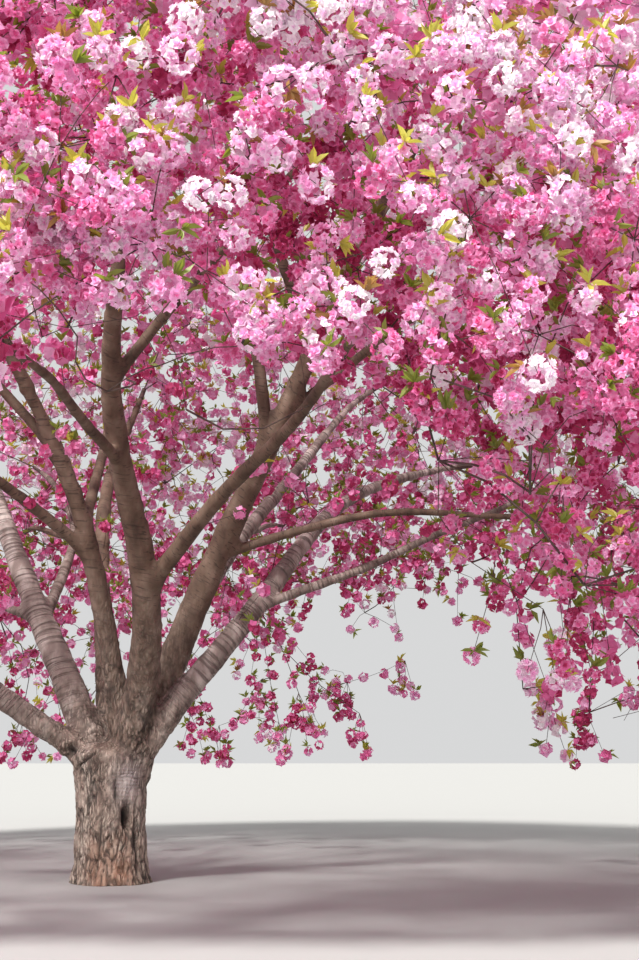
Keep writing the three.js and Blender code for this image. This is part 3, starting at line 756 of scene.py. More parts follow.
def flakes_of(bark):
    """1 on a flake of bark and 0 in the cracks round it; the flakes are taller than wide."""
    warp = bark.noise(bark.place(), *WARP_NOISE, "Color")
    bent = bark.moved(warp, FLAKES["warp"], bark.place())
    edge = bark.add("ShaderNodeTexVoronoi", "Distance", {
        "Vector": bark.scaled(bent, (1, 1, FLAKES["flat"])), "Scale": FLAKES["scale"],
    }, feature="DISTANCE_TO_EDGE")
    worn = bark.spread(bark.noise(bark.place(), *WORN_NOISE), *FLAKES["worn"])
    return bark.math("MAXIMUM", bark.spread(edge, 0, FLAKES["edge"], "From"), worn)


def rings_of(bark, across, around, low, high):
    """1 in broken dark rings round a bough: noise drawn out round it, thresholded."""
    along = bark.add("ShaderNodeCombineXYZ", "Vector", {
        "X": bark.math("MULTIPLY", bark.share("along"), across)})
    noise = bark.noise(bark.moved(bark.place(), around, along), *RING_NOISE)
    return bark.spread(noise, low, high, "From")


def bark_material():
    """Flaky bark on the trunk that passes into silvery ringed bark on the boughs, and into darker
    brown bark painted as shade on the boughs in the crown's shade.
    """
    bark = Material("bark")
    grain, fine = (bark.noise(bark.scaled(bark.place(), (1, 1, tall)), scale, detail)
                   for tall, scale, detail in GRAIN.values())
    flakes = flakes_of(bark)
    rings, marks = (rings_of(bark, *RINGS[name]) for name in ("rings", "marks"))
    young, painted_shade = bark.share("young"), bark.share("painted_shade")
    old, silver, shade_brown = (bark.ramp(grain, name) for name in ("old", "silver", "shade_brown"))
    ringed = bark.blend(bark.math("MULTIPLY", rings, RINGS["strength"]), silver, "ring")
    # Painted shade: the boughs in the crown's shade take the darker brown bark, and their old bark
    # turns browner
    marked = bark.blend(bark.math("MULTIPLY", marks, RINGS["strength"]), shade_brown, "mark")
    browner_in_shade = bark.math("MULTIPLY", painted_shade, OLD_BARK["browner_in_shade"])
    aged = bark.blend(browner_in_shade, bark.blend(flakes, "crack", old), shade_brown)
    body = bark.blend(young, aged, bark.blend(painted_shade, ringed, marked))
    banded = bark.math("MULTIPLY", bark.share("banded"), OLD_BARK["banded"])
    body = bark.blend(banded, body, "banded")
    body = bark.blend(bark.share("russet"), body, "russet")
    # Painted shade: near-black in the cracks, furrows, cavity and the knot's hollow
    body = bark.blend(bark.share("furrow_shade"), body, "furrow_shade")
    flaky = bark.math("MULTIPLY", flakes, bark.math("SUBTRACT", 1.0, young))
    lighter = bark.math("SUBTRACT", OLD_BARK["ring_relief"], painted_shade)
    ringy = bark.math("MULTIPLY", bark.math("MULTIPLY", rings, lighter), young)
    height = bark.math("ADD", bark.math("SUBTRACT", flaky, ringy),
                       bark.math("MULTIPLY", fine, OLD_BARK["fine_relief"]))
    return bark.finish(body, "bark", grain, height)


def twig_material():
    twig = Material("twig_bark")
    grain = twig.noise(twig.place(), TWIG_SCALE)
    return twig.finish(twig.ramp(grain, "twig"), "twig", grain, grain)


# Trunk and boughs: closed tubes, joined by a remesh, smoothed and given the bark's relief
VOXEL = 0.021
SOFTEN = {"factor": 0.5, "iterations": 5}
FINE_TRUNK = {"height": 1.0, "reach": 0.42}
FOOT = {"top": 0.002, "least": 0.001}
TRUNK_TUBE = {"bottom": -0.06, "top": 0.97, "rings": 40, "sides": 64}
BOUGH_TUBE = {"rings": 60, "sides": 20}
STUB = {"run": 0.3, "swell": (1.45, 0.8), "rings": 12, "sides": 14}
# The last entry is the share of painted shade on limbs that grow from boughs out of the crown's shade
LIMB_TUBE = {"step": 0.03, "sides": 9, "lump": 0.006, "scale": 14, "seed": 131, "paler": 0.3}
# Boughs in the crown's shade, painted with darker brown bark as shade
PAINTED_SHADE_BOUGHS = ("bough_front", "bough_leader", "bough_left_front", "bough_back")
# Steps along a bough, and the direction that the turn round it is counted from
WOOD_STEPS = 24
ROUND_FROM = np.array([0.3, 1.0, 0.1])
# Old bark: how far it fades below the fork, and how far it runs up the boughs painted with shade and
# up other boughs
OLD = {"fade": 0.2, "runs": (1.05, 0.6), "full": 1.35}
# The last entry of the plates is how strongly their cracks are painted near-black as shade
PLATES = {"size": (0.034, 0.034, 0.16), "seed": 11, "stray": 0.42, "warp": 0.035, "gap": 0.2,
          "cracked": 0.75, "worn": 0.8, "painted_shade": 0.85}
YOUNG_RINGS = {"along": 16, "around": 0.8, "seed": 23}
BANDS = {"number": 42, "warp": 1.2, "shown": (0.4, 0.6)}
# How far each kind of relief goes in or out, in metres
RELIEF = {"plate": 0.006, "crack": 0.010, "ring": 0.005, "band": 0.006, "fine": 0.004,
          "lump": 0.008}
# How often each noise of the bark repeats in a metre, and its seed
NOISES = {"warp_x": (9, 3), "warp_y": (9, 4), "warp_z": (9, 5), "crack": (7, 13),
          "band": (6, 41), "fine": (22, 51), "lump": (5, 61), "wander": (7, 71),
          "russet": (8, 81)}
# Marks on the trunk: kind, compass, height, half width, half height, depth and slant. Each is sunk
# and painted near-black as shade
TRUNK_MARKS = (
    ("furrow_shade", 322, 0.22, 0.018, 0.30, 0.030, 0),
    ("furrow_shade", 286, 0.60, 0.010, 0.13, 0.020, 0),
    ("furrow_shade", 262, 0.30, 0.010, 0.22, 0.014, 0.1),
    ("furrow_shade", 238, 0.50, 0.010, 0.20, 0.014, -0.1),
    ("furrow_shade", 234, 0.795, 0.018, 0.08, 0.022, 1.4),
    ("cavity", 305, 0.43, 0.034, 0.075, 0.085, 0),
)
MARK_WANDER = 0.02
MARK_END = 1.2
SMOOTH_PATCH = {"compass": 306, "height": 0.66, "span": 24, "tall": 0.15}
RUSSET_PATCH = {"compass": 286, "height": 0.12, "span": 40, "tall": 0.2, "shown": (0.5, 0.6)}
# The knot's hollow is painted near-black as shade, by its last entry
KNOT = {"place": (-0.276, -0.11, 0.866), "squash": (1, 0.5, 1.2), "reach": 0.08, "rim": 0.014,
        "rim_at": 0.9, "rim_width": 0.35, "hollow": 0.035, "hollow_width": 0.6, "painted_shade": 0.95}


def trunk_tube():
    sides = TRUNK_TUBE["sides"]
    top = TRUNK["fork"] * TRUNK_TUBE["top"]
    heights = np.append(TRUNK_TUBE["bottom"], np.linspace(0, top, TRUNK_TUBE["rings"]))
    turn = 2 * np.pi * np.arange(sides) / sides
    rings = []
    for height in heights:
        share = height / TRUNK["fork"]
        closing = max(share - TRUNK["crotch_from"], 0) / (1 - TRUNK["crotch_from"])
        reach = trunk_reach(max(height, 0), turn) * mix(1, TRUNK["crotch"], closing)
        ring = around_axis(reach, turn, np.full(sides, height))
        rings.append(ring + np.array([TRUNK["lean"] * share, 0, 0]))
    return np.vstack(rings), tube_faces(len(heights), sides)[:, [0, 2, 1]]


def limb_tube(limb, shape, end=1.0, swell=(1, 1)):
    """A tube along a limb as far as some share of it, with its radius swollen on the way."""
    t = np.linspace(0, end, shape["rings"])
    radii = limb_radius(limb, t) * np.linspace(*swell, shape["rings"])
    return tubes(point_on(PATHS[limb[0]], t)[None], radii[None], shape["sides"])


def place_on_wood(points):
    """For each point the bough it is on, how far along that and which way round, in metres."""
    best = np.full(len(points), np.inf)
    found = np.zeros((3, len(points)))
    rows = np.arange(len(points))
    for number, limb in enumerate(BOUGHS, start=1):
        path = point_on(PATHS[limb[0]], np.linspace(0, 1, WOOD_STEPS + 1))
        runs = np.diff(path, axis=0)
        share, away = nearest_on(path[:-1], runs, points)
        way = length_of(away)
        step = way.argmin(1)
        t = (step + share[rows, step]) / WOOD_STEPS
        scaled = way[rows, step] / limb_radius(limb, t)
        heading = unit(runs[step])
        side = unit(np.cross(heading, ROUND_FROM))
        front = np.cross(side, heading)
        spoke = away[rows, step]
        turned = np.arctan2((spoke * front).sum(1), (spoke * side).sum(1))
        here = np.stack([np.full(len(points), number), t * limb[5], turned])
        found = np.where(scaled < best, here, found)
        best = np.minimum(best, scaled)
    return found


def patch(compass, height, where):
    off = turn_between(where["compass"], compass) / where["span"]
    rise = (height - where["height"]) / where["tall"]
    return np.exp(-off * off - rise * rise)


def relief(points):
    """How far each point of the bark moves out, and the shares that colour it."""
    noise = {name: layered_noise(points * scale, seed)
             for name, (scale, seed) in NOISES.items()}
    owner, along, angle = place_on_wood(points)
    height = points[:, 2]
    compass = compass_of(points - height[:, None] * np.array([TRUNK["lean"], 0, 0]))
    on_trunk = eased(np.clip((TRUNK["fork"] - height) / OLD["fade"], 0, 1))
    # Painted shade: darker brown bark on the boughs in the crown's shade
    painted_shade = np.isin(owner, [number for number, limb in enumerate(BOUGHS, start=1)
                           if limb[0] in PAINTED_SHADE_BOUGHS])
    fading = np.clip(OLD["full"] - along / np.where(painted_shade, *OLD["runs"]), 0, 1)
    old = np.maximum(on_trunk, fading * (along > 0))
    warp = np.stack([noise["warp_x"], noise["warp_y"], noise["warp_z"]], 1)
    bent = points + PLATES["warp"] * warp
    edge, plate = plates_at(bent * (1 / np.array(PLATES["size"])), PLATES["seed"])
    crack = np.exp(-(edge / PLATES["gap"]) ** 2)
    crack = crack * np.clip(PLATES["cracked"] + noise["crack"], 0, 1)
    smooth = patch(compass, height, SMOOTH_PATCH) * on_trunk
    rough = old * (1 - PLATES["worn"] * smooth)
    move = rough * (RELIEF["plate"] * plate - RELIEF["crack"] * crack)
    young = 1 - old
    around = np.column_stack([along * YOUNG_RINGS["along"], angle * YOUNG_RINGS["around"], owner])
    move += young * RELIEF["ring"] * noise_at(around, YOUNG_RINGS["seed"])
    bands = np.sin(np.pi * (height * BANDS["number"] + BANDS["warp"] * noise["band"])) ** 2
    move += smooth * RELIEF["band"] * bands
    move += RELIEF["fine"] * noise["fine"] + RELIEF["lump"] * noise["lump"]
    # Painted shade: near-black down the cracks between plates, and in the furrows, the cavity and the
    # knot's hollow below
    furrow_shade = rough * PLATES["painted_shade"] * crack
    arc = TRUNK["waist"] * np.radians(1)
    for kind, mark_compass, mark_height, half_width, half_height, depth, slant in TRUNK_MARKS:
        wander = MARK_WANDER * noise["wander"] - slant * (height - mark_height)
        aside = (turn_between(mark_compass, compass) * arc + wander) / half_width
        rise = (height - mark_height) / half_height
        if kind == "cavity":
            pit = 1 / (1 + (aside ** 2 + rise ** 2) ** 3)
        else:
            pit = np.exp(-aside * aside) * np.clip(MARK_END - np.abs(rise), 0, 1)
        pit = pit * (height < FINE_TRUNK["height"])
        move -= depth * pit
        furrow_shade = np.maximum(furrow_shade, pit)
    away = (points - np.array(KNOT["place"])) * np.array(KNOT["squash"])
    away = length_of(away) / KNOT["reach"]
    move += KNOT["rim"] * np.exp(-((away - KNOT["rim_at"]) / KNOT["rim_width"]) ** 2)
    move -= KNOT["hollow"] * np.exp(-(away / KNOT["hollow_width"]) ** 2)
    furrow_shade = np.maximum(furrow_shade, KNOT["painted_shade"] * np.exp(-(away / KNOT["hollow_width"]) ** 4))
    least, more = RUSSET_PATCH["shown"]
    russet = patch(compass, height, RUSSET_PATCH) * (least + more * noise["russet"])
    least, more = BANDS["shown"]
    return move, {"furrow_shade": furrow_shade, "young": young, "russet": russet, "along": along,
                  "painted_shade": painted_shade * (1 - on_trunk), "banded": smooth * (least + more * bands)}


def give_shares(mesh, shares):
    for name, values in shares.items():
        layer = mesh.attributes.new(name, "FLOAT", "POINT")
        values = values if name == "along" else np.clip(values, 0, 1)
        layer.data.foreach_set("value", np.asarray(values, np.float32))


def evaluated_mesh(piece):
    graph = bpy.context.evaluated_depsgraph_get()
    return bpy.data.meshes.new_from_object(piece.evaluated_get(graph))


def vertex_values(mesh, key):
    values = np.zeros(len(mesh.vertices) * 3, np.float32)
    mesh.vertices.foreach_get(key, values)
    return values.reshape(-1, 3).astype(float)


def cut_at_ground(mesh):
    """Cuts a mesh flat at the ground and gives the trunk twice as fine a mesh."""
    shape = bmesh.new()
    shape.from_mesh(mesh)
    cut = bmesh.ops.bisect_plane(shape, geom=shape.verts[:] + shape.edges[:] + shape.faces[:],
                                 plane_co=(0, 0, 0), plane_no=(0, 0, -1), clear_outer=True)
    rim = [part for part in cut["geom_cut"] if isinstance(part, bmesh.types.BMEdge)]
    bmesh.ops.holes_fill(shape, edges=rim)
    on_trunk = [edge for edge in shape.edges if all(
        corner.co.z < FINE_TRUNK["height"] and corner.co.xy.length < FINE_TRUNK["reach"]
        for corner in edge.verts)]
    bmesh.ops.subdivide_edges(shape, edges=on_trunk, cuts=1, use_grid_fill=True)
    bmesh.ops.triangulate(shape, faces=shape.faces[:])
    shape.to_mesh(mesh)
    shape.free()
    mesh.update()


def make_wood(material):
    tubes_of_wood = [trunk_tube()]
    tubes_of_wood += [limb_tube(limb, BOUGH_TUBE) for limb in BOUGHS]
    # The feet of the lesser limbs are swollen, so that the remesh blends them into the boughs
    tubes_of_wood += [limb_tube(limb, STUB, STUB["run"] / limb[5], STUB["swell"])
                      for limb in LESSER_LIMBS]
    wood = mesh_piece("trunk_and_boughs", *joined(tubes_of_wood), material)
    remesh = wood.modifiers.new("join", "REMESH")
    remesh.mode = "VOXEL"
    remesh.voxel_size = VOXEL
    soften = wood.modifiers.new("soften", "SMOOTH")
    soften.factor = SOFTEN["factor"]
    soften.iterations = SOFTEN["iterations"]
    mesh = evaluated_mesh(wood)
    wood.modifiers.clear()
    wood.data = mesh
    cut_at_ground(mesh)
    places, normals = vertex_values(mesh, "co"), vertex_values(mesh, "normal")
    move, shares = relief(places)
    foot = places[:, 2] < FOOT["top"]
    flat = np.where(foot[:, None], normals * np.array([1, 1, 0]), normals)
    places = places + unit(flat) * move[:, None]
    places[:, 2] = np.where(foot, 0, np.maximum(places[:, 2], FOOT["least"]))
    mesh.vertices.foreach_set("co", places.astype(np.float32).ravel())
    give_shares(mesh, shares)
    mesh.polygons.foreach_set("use_smooth", np.full(len(mesh.polygons), True))
    mesh.materials.clear()
    mesh.materials.append(material)
    mesh.update()
    return wood


def make_limbs(material):
    """The lesser limbs, as tubes with the ringed relief of young bark."""
    sides = LIMB_TUBE["sides"]
    parts, along, painted_shade = [], [], []
    for number, limb in enumerate(LESSER_LIMBS):
        t = np.linspace(0, 1, int(limb[5] / LIMB_TUBE["step"]))
        line = point_on(PATHS[limb[0]], t)
        points, faces = tubes(line[None], limb_radius(limb, t)[None], sides)
        spoke = unit(points - np.repeat(line, sides, axis=0))
        lumps = layered_noise(points * LIMB_TUBE["scale"], LIMB_TUBE["seed"] + number)
        parts.append((points + spoke * (LIMB_TUBE["lump"] * lumps)[:, None], faces))
        along.append(np.repeat(t * limb[5], sides))
        # Limbs of the boughs in the crown's shade carry the full painted shade
        painted_shade.append(np.full(len(points), 1.0 if limb[1] in PAINTED_SHADE_BOUGHS else LIMB_TUBE["paler"]))
    points, faces = joined(parts)
    piece = mesh_piece("limbs", points, faces, material)
    none = np.zeros(len(points))
    give_shares(piece.data, {"furrow_shade": none, "young": none + 1, "russet": none, "banded": none,
                             "painted_shade": np.concatenate(painted_shade), "along": np.concatenate(along)})
    return piece


# Flower clusters: balls of ruffled double flowers, in four amounts of detail
# Each whorl: petals, points of the rim for each, widest and narrowest reach, lowest and highest
# rim, and how many tints deeper it is, which paints shade into the flower's centre
WHORLS = {
    "near": ((5, 2, 1.0, 0.72, 0.02, 0.34, 0), (5, 1, 0.6, 0.6, 0.34, 0.5, 0),
             (3, 1, 0.34, 0.34, 0.6, 0.6, 1)),
    "mid": ((5, 2, 1.0, 0.72, 0.02, 0.34, 0), (4, 1, 0.5, 0.5, 0.4, 0.5, 1)),
    "far": ((3, 2, 1.05, 0.82, 0.05, 0.30, 0),),
    "unseen": ((4, 1, 1.0, 1.0, 0.1, 0.2, 0),),
}
# Flowers in a cluster, their size and how far they stand out, as shares of its radius, and the
# share of them that is one tint paler and again one tint deeper than their cluster
FLOWERS = {"near": (24, 0.30, 0.72, 0.2), "mid": (15, 0.38, 0.64, 0.2),
           "far": (10, 0.45, 0.56, 0.2), "unseen": (6, 0.66, 0.44, 0.08)}
# How unevenly the petals of a whorl and the flowers of a cluster stand
UNEVEN = {"turn": 0.3, "reach": 0.1, "height": 0.07, "way": 0.22, "size": 0.12}
THROAT = -0.12
PATTERN_SEED = 77
SPIN = 6.28


def whorl(draws, petals, each, wide, narrow, low, high):
    """A fan of petals about +Z whose rim goes in and out and up and down."""
    rim = petals * each
    around = np.arange(rim)
    turn = 2 * np.pi * (around + UNEVEN["turn"] * draws.random(rim) + draws.random()) / rim
    notch = around % each == 0
    reach = np.where(notch, narrow, wide) * (1 + UNEVEN["reach"] * draws.normal(size=rim))
    height = np.where(notch, low, high) + UNEVEN["height"] * draws.normal(size=rim)
    faces = np.stack([np.zeros_like(around), 1 + around, 1 + (around + 1) % rim], 1)
    return np.vstack([[0, 0, THROAT], around_axis(reach, turn, height)]), faces


def turned_to(ways, spin):
    """Rotation matrices that take +Z to each of some directions."""
    side = unit(np.cross(guide_for(ways), ways))
    front = np.cross(ways, side)
    c, s = np.cos(spin)[:, None], np.sin(spin)[:, None]
    return np.stack([side * c + front * s, front * c - side * s, ways], axis=2)


def cluster_pattern(detail, draws):
    """One ball of flowers of radius 1, as arrays for each step away from its cluster's tint."""
    count, width, off, odd = FLOWERS[detail]
    step = np.arange(count) + 0.5
    rise = 1 - 2 * step / count
    turn = np.pi * (1 + 5 ** 0.5) * step
    ways = around_axis(np.sqrt(1 - rise * rise), turn, rise)
    ways = unit(ways + UNEVEN["way"] * draws.normal(size=(count, 3)))
    spins = turned_to(ways, 2 * np.pi * draws.random(count))
    groups = {-1: [], 0: [], 1: []}
    for way, spin in zip(ways, spins):
        lean = int(draws.choice([-1, 0, 1], p=(odd, 1 - 2 * odd, odd)))
        size = width * (1 + UNEVEN["size"] * draws.normal())
        for *shape, deeper in WHORLS[detail]:
            points, faces = whorl(draws, *shape)
            points = (points * size) @ spin.T + way * off
            # Inner whorls go one tint deeper: painted shade in the flower's centre
            groups[max(-1, min(1, lean + deeper))].append((points, faces))
    return {step: joined(parts) for step, parts in groups.items() if parts}


# The crown's twigs, shoots, clusters and leaves
# Points of a leaf: along it, across it and lifted from its midrib, all as shares
LEAF_SHAPES = {
    "near": {"points": ((0, 0, 0), (0.3, 0.9, 0.9), (0.66, 0.75, 0.5), (1, 0, -1.2),
                        (0.66, -0.75, 0.5), (0.3, -0.9, 0.9)),
             "faces": ((0, 1, 2), (0, 2, 3), (0, 3, 4), (0, 4, 5))},
    "far": {"points": ((0, 0, 0), (0.42, 1, 0.9), (1, 0, -1.2), (0.42, -1, 0.9)),
            "faces": ((0, 1, 2), (0, 2, 3))},
}
# Name, colour, and colour of the light that is let through. The near-white palest petal is painted
# highlight and the deepest is deep pink darkened as painted shade; the pinks between are the
# blossom's own
PETALS = (
    ("blossom_pale_highlight", (0.99, 0.97, 0.985), (0.99, 0.94, 0.98)),
    ("blossom_light", (0.985, 0.88, 0.955), (0.985, 0.79, 0.93)),
    ("blossom_soft", (0.975, 0.765, 0.905), (0.975, 0.67, 0.87)),
    ("blossom_mid", (0.955, 0.635, 0.815), (0.96, 0.535, 0.77)),
    ("blossom_rose", (0.90, 0.465, 0.685), (0.91, 0.375, 0.63)),
    ("blossom_deep_shade", (0.76, 0.27, 0.47), (0.80, 0.22, 0.44)),
)
LEAVES = (
    ("leaf_bronze", (0.64, 0.50, 0.30), (0.80, 0.64, 0.26)),
    ("leaf_olive", (0.73, 0.72, 0.34), (0.88, 0.87, 0.28)),
    # Green leaves, made darker as painted shade for the leaves deep in the crown
    ("leaf_green_shaded", (0.50, 0.55, 0.25), (0.64, 0.71, 0.20)),
)


def along_shoot(shoots, share):
    """Place of each shoot at some share of its length: it arches out and then hangs."""
    share = share[:, None]
    length = shoots["length"][:, None]
    lift = shoots["lift"][:, None] * share * (1 - 0.5 * share)
    droop = shoots["droop"][:, None] * share * share
    return (shoots["start"] + length * (shoots["way"] * share + shoots["outward"] * lift)
            - UP * length * droop)


def shoots_of_sprays(sprays):
    start, outward, reach, level, tint = (
        np.array([spray[key] for spray in sprays])
        for key in ("point", "outward", "reach", "level", "tint"))
    denser = np.where(in_dense_part(start), SHOOT["denser"], 1)
    count = np.clip(np.round(reach * SHOOT["per_reach"] * denser), SHOOT["least"],
                    SHOOT["most"]).astype(int)
    owner = np.repeat(np.arange(len(sprays)), count)
    order = np.concatenate([np.arange(number) for number in count])
    total = len(owner)
    phase = DRAWS.random(len(sprays))[owner]
    turn = 2 * np.pi * ((order + SHOOT["turn"] * DRAWS.random(total)) / count[owner] + phase)
    side = unit(np.cross(outward, NEAR_UP))[owner]
    front = np.cross(outward[owner], side)
    way = side * np.cos(turn)[:, None] + front * np.sin(turn)[:, None]
    hang = (level < SPRAY["hem_level"])[owner]
    hanging = unit(way * SHOOT["aside"] - UP)
    length = reach[owner] * drawn(SHOOT["length"], total)
    hem = skirt_height(compass_of(start[owner, :2] - AXIS))
    longest = start[owner, 2] - hem + SHOOT["below_hem"]
    return {
        "start": start[owner], "outward": outward[owner], "tint": tint[owner],
        "way": np.where(hang[:, None], hanging, way),
        "length": np.where(hang, np.minimum(drawn(SHOOT["hang"], total), longest), length),
        **{key: np.where(hang, SHOOT["straight"], drawn(SHOOT[key], total))
           for key in ("lift", "droop")},
    }


def shoots_of_limbs():
    """Thin side twigs on the limbs inside the crown."""
    starts, ways, lengths = [], [], []
    for limb in LIMBS:
        first = SIDE_TWIG["from"] if limb[1] == "trunk" else SIDE_TWIG["from"] / 2
        for place in np.arange(first, limb[5], SIDE_TWIG["spacing"]):
            share = min(place / limb[5] + SIDE_TWIG["uneven"] * DRAWS.random(), 1)
            start = point_on(PATHS[limb[0]], share)
            heading = heading_on(PATHS[limb[0]], share)
            if crown_depth(start) > SIDE_TWIG["least_depth"]:
                starts.append(start)
                ways.append(unit(DRAWS.normal(size=3) * SIDE_TWIG["aside"]
                                 + heading * SIDE_TWIG["ahead"] + UP * SIDE_TWIG["up"]))
                lengths.append(drawn(SIDE_TWIG["length"]))
    total = len(starts)
    return {
        "start": np.array(starts), "way": np.array(ways), "length": np.array(lengths),
        "outward": np.tile(UP, (total, 1)), "lift": np.full(total, SIDE_TWIG["lift"]),
        "droop": drawn(SIDE_TWIG["droop"], total), "tint": DRAWS.normal(size=total),
    }


def stacked(*tables):
    return {key: np.concatenate([table[key] for table in tables]) for key in tables[0]}


def chosen_rows(table, rows):
    return {key: values[rows] for key, values in table.items()}


def strays(count):
    bounded = np.clip(DRAWS.normal(size=(count, 3)), *CLUSTER["bounds"])
    return CLUSTER["stray"] * bounded


def clusters_of(shoots, first_share):
    """Flower clusters strung along the shoots, each with its shoot and its share of that."""
    found = []
    for step in range(CLUSTER["most"]):
        share = 1 - step * CLUSTER["spacing"] / shoots["length"]
        share = share + CLUSTER["uneven"] * DRAWS.normal(size=len(share))
        share = np.clip(share, 0, CLUSTER["beyond"])
        stray = strays(len(share))
        keep = (share > first_share) & (DRAWS.random(len(share)) < CLUSTER["kept"])
        found.append({
            "place": (along_shoot(shoots, share) + stray - UP * CLUSTER["hang"])[keep],
            "radius": drawn(CLUSTER["radius"], len(share))[keep],
            "tint": shoots["tint"][keep], "shoot": np.flatnonzero(keep), "share": share[keep],
        })
    return stacked(*found)


def clusters_on_twigs(lines, tints):
    """Clusters along the outer part of each twig of the masses."""
    lengths = length_of(lines[:, -1] - lines[:, 0])
    found = []
    for line, length, tint in zip(lines, lengths, tints):
        count = int(length * (1 - CLUSTER["twig_from"]) / CLUSTER["on_twigs"])
        order = (np.arange(count) + DRAWS.random(count)) / max(count, 1)
        share = mix(CLUSTER["twig_from"], 1, order)
        found.append({
            "place": point_on(line, share) + strays(count),
            "radius": drawn(CLUSTER["radius"], count),
            "tint": np.full(count, tint), "shoot": np.full(count, -1), "share": share,
        })
    return stacked(*found)


def in_photograph(points):
    """Column and row of each point in the photograph, its distance and whether it is in it."""
    pitch = math.radians(CAMERA["pitch"])
    off = points - np.array(CAMERA["place"])
    ahead = off[:, 1] * math.cos(pitch) + off[:, 2] * math.sin(pitch)
    above = off[:, 2] * math.cos(pitch) - off[:, 1] * math.sin(pitch)
    scale = FRAME_PIXELS[1] * CAMERA["lens"] / CAMERA["sensor"] / np.maximum(ahead, 0.1)
    column = FRAME_PIXELS[0] / 2 + scale * off[:, 0]
    row = FRAME_PIXELS[1] / 2 - scale * above
    margin = DETAIL["margin"] * FRAME_PIXELS[1]
    inside = (ahead > 0) & (np.abs(column - FRAME_PIXELS[0] / 2) < FRAME_PIXELS[0] / 2 + margin)
    inside &= np.abs(row - FRAME_PIXELS[1] / 2) < FRAME_PIXELS[1] / 2 + margin
    return column, row, length_of(off), inside


def beyond_opening(column):
    """The distance at which blossom starts below the edge line."""
    return np.interp(column, OPENING["columns"], OPENING["starts"])


def in_dense_part(points):
    """Whether a point shows in the upper part of the photograph, where there is no sky."""
    _, row, _, inside = in_photograph(points)
    return inside & (row < DENSE_ROW)


def seen_behind(points):
    """Whether a point shows between or beyond the boughs, on the far side of the opening."""
    column, row, distance, inside = in_photograph(points)
    top, bottom = OPENING["behind"]
    return inside & (distance > beyond_opening(column)) & (row > top) & (row < bottom)


def in_opening(points, luck):
    """Whether near blossom is left out here, because the photograph looks past it."""
    column, row, distance, inside = in_photograph(points)
    edge = np.interp(column, *np.transpose(NEAR_EDGE)) + OPENING["ragged"] * (luck - 0.5)
    return inside & (distance < beyond_opening(column)) & (row > edge)


def at_hem(points, luck):
    """Whether a point hangs low, where the photograph shows few sprays, and is left out there."""
    column, row, _, inside = in_photograph(points)
    low = inside & (row > np.interp(column, HEM["columns"], HEM["rows"])) & (column > HEM["from"])
    return low, low & (luck > np.interp(column, HEM["columns"], HEM["kept"]))


def tints_with_painted_light(clusters):
    """Painted light in the tints, 0 palest: pale as painted highlight on the crown's sunny skin, deep
    as painted shade inside it and on its underside.
    """
    depth = np.clip(crown_depth(clusters["place"]) / TINT_AND_PAINTED_LIGHT["depth"], 0, TINT_AND_PAINTED_LIGHT["deepest"])
    under = np.interp(clusters["place"][:, 2], TINT_AND_PAINTED_LIGHT["under_shade_heights"], (TINT_AND_PAINTED_LIGHT["under"], 0))
    unseen = TINT_AND_PAINTED_LIGHT["unseen"] * ~in_photograph(clusters["place"])[3]
    luck = TINT_AND_PAINTED_LIGHT["cluster"] * DRAWS.normal(size=len(depth)) + unseen
    return TINT_AND_PAINTED_LIGHT["skin"] + depth + under + TINT_AND_PAINTED_LIGHT["spray"] * clusters["tint"] + luck


def arched(start, end, thick, thin):
    """A twig that bends and arches a little on its way, as four points and their radii."""
    run = end - start
    bend = np.cross(run, DRAWS.normal(size=3)) * ARCH["bend"]
    bend = bend + UP * ARCH["rise"] * length_of(run)
    share = np.array(ARCH["shares"])[:, None]
    return start + run * share + bend * share * (1 - share) * 2, mix(thick, thin, share[:, 0])


def grow_masses():
    sprays, lines, radii, twig_rows = [], [], [], []
    for index, mass in enumerate(MASSES):
        draw = seeded_draws(SEEDS["mass"] + SEEDS["mass_step"] * index)
        limb = next(row for row in LIMBS if row[0] == mass[2])
        path = PATHS[limb[0]]
        heading = heading_on(path, 1)
        foot = path[-1] + heading * GAP
        root = foot + heading * (TWIG["stem"] - TWIG["sink"])
        tier = TIERS[mass[0]]
        coarse = place_sprays(mass, index, tier["sprays"], SPRAY["reach"], SPRAY["deep"], draw, [])
        off = turn_between(FRONT["compass"], mass[1]) / FRONT["span"]
        more = mix(1, FRONT["more"], math.exp(-off * off))
        fine = place_sprays(mass, index, int(tier["fine"] * more), FINE["reach"], FINE["deep"],
                            draw, coarse)
        stem_radius = TWIG["stem_root"] * limb[6][1]
        lines.append(np.array([path[-1] - heading * STEM["behind"], foot, root,
                               root + heading * STEM["ahead"]]))
        radii.append(np.array(STEM["widths"]) * stem_radius)
        nodes = grow_twigs(root, coarse + fine, index)
        points = np.array([node["point"] for node in nodes])
        bare = in_opening(points, DRAWS.random(len(nodes)))
        low, left_out = at_hem(points, DRAWS.random(len(nodes)))
        bare |= left_out
        bare[0] = False
        for place, node in enumerate(nodes[1:], start=1):
            bare[place] |= low[place] & bare[node["on"]]
        needed = ~bare
        for place in range(len(nodes) - 1, 0, -1):
            if needed[place]:
                needed[[nodes[place]["on"], nodes[place]["parent"]]] = True
        for place, node in enumerate(nodes[1:], start=1):
            thin = node["share"] ** (1 / TWIG["power"])
            thick = min(thin * TWIG["thicker"], TWIG["thickest"] * stem_radius)
            ways, widths = arched(node["foot"], node["point"], SLIM * thick, SLIM * min(thin, thick))
            if needed[place]:
                twig_rows.append(len(lines))
                lines.append(ways)
                radii.append(widths)
            if not bare[place]:
                node["spray"]["tint"] = DRAWS.normal()
                sprays.append(node["spray"])
    return sprays, np.array(lines), np.array(radii), twig_rows


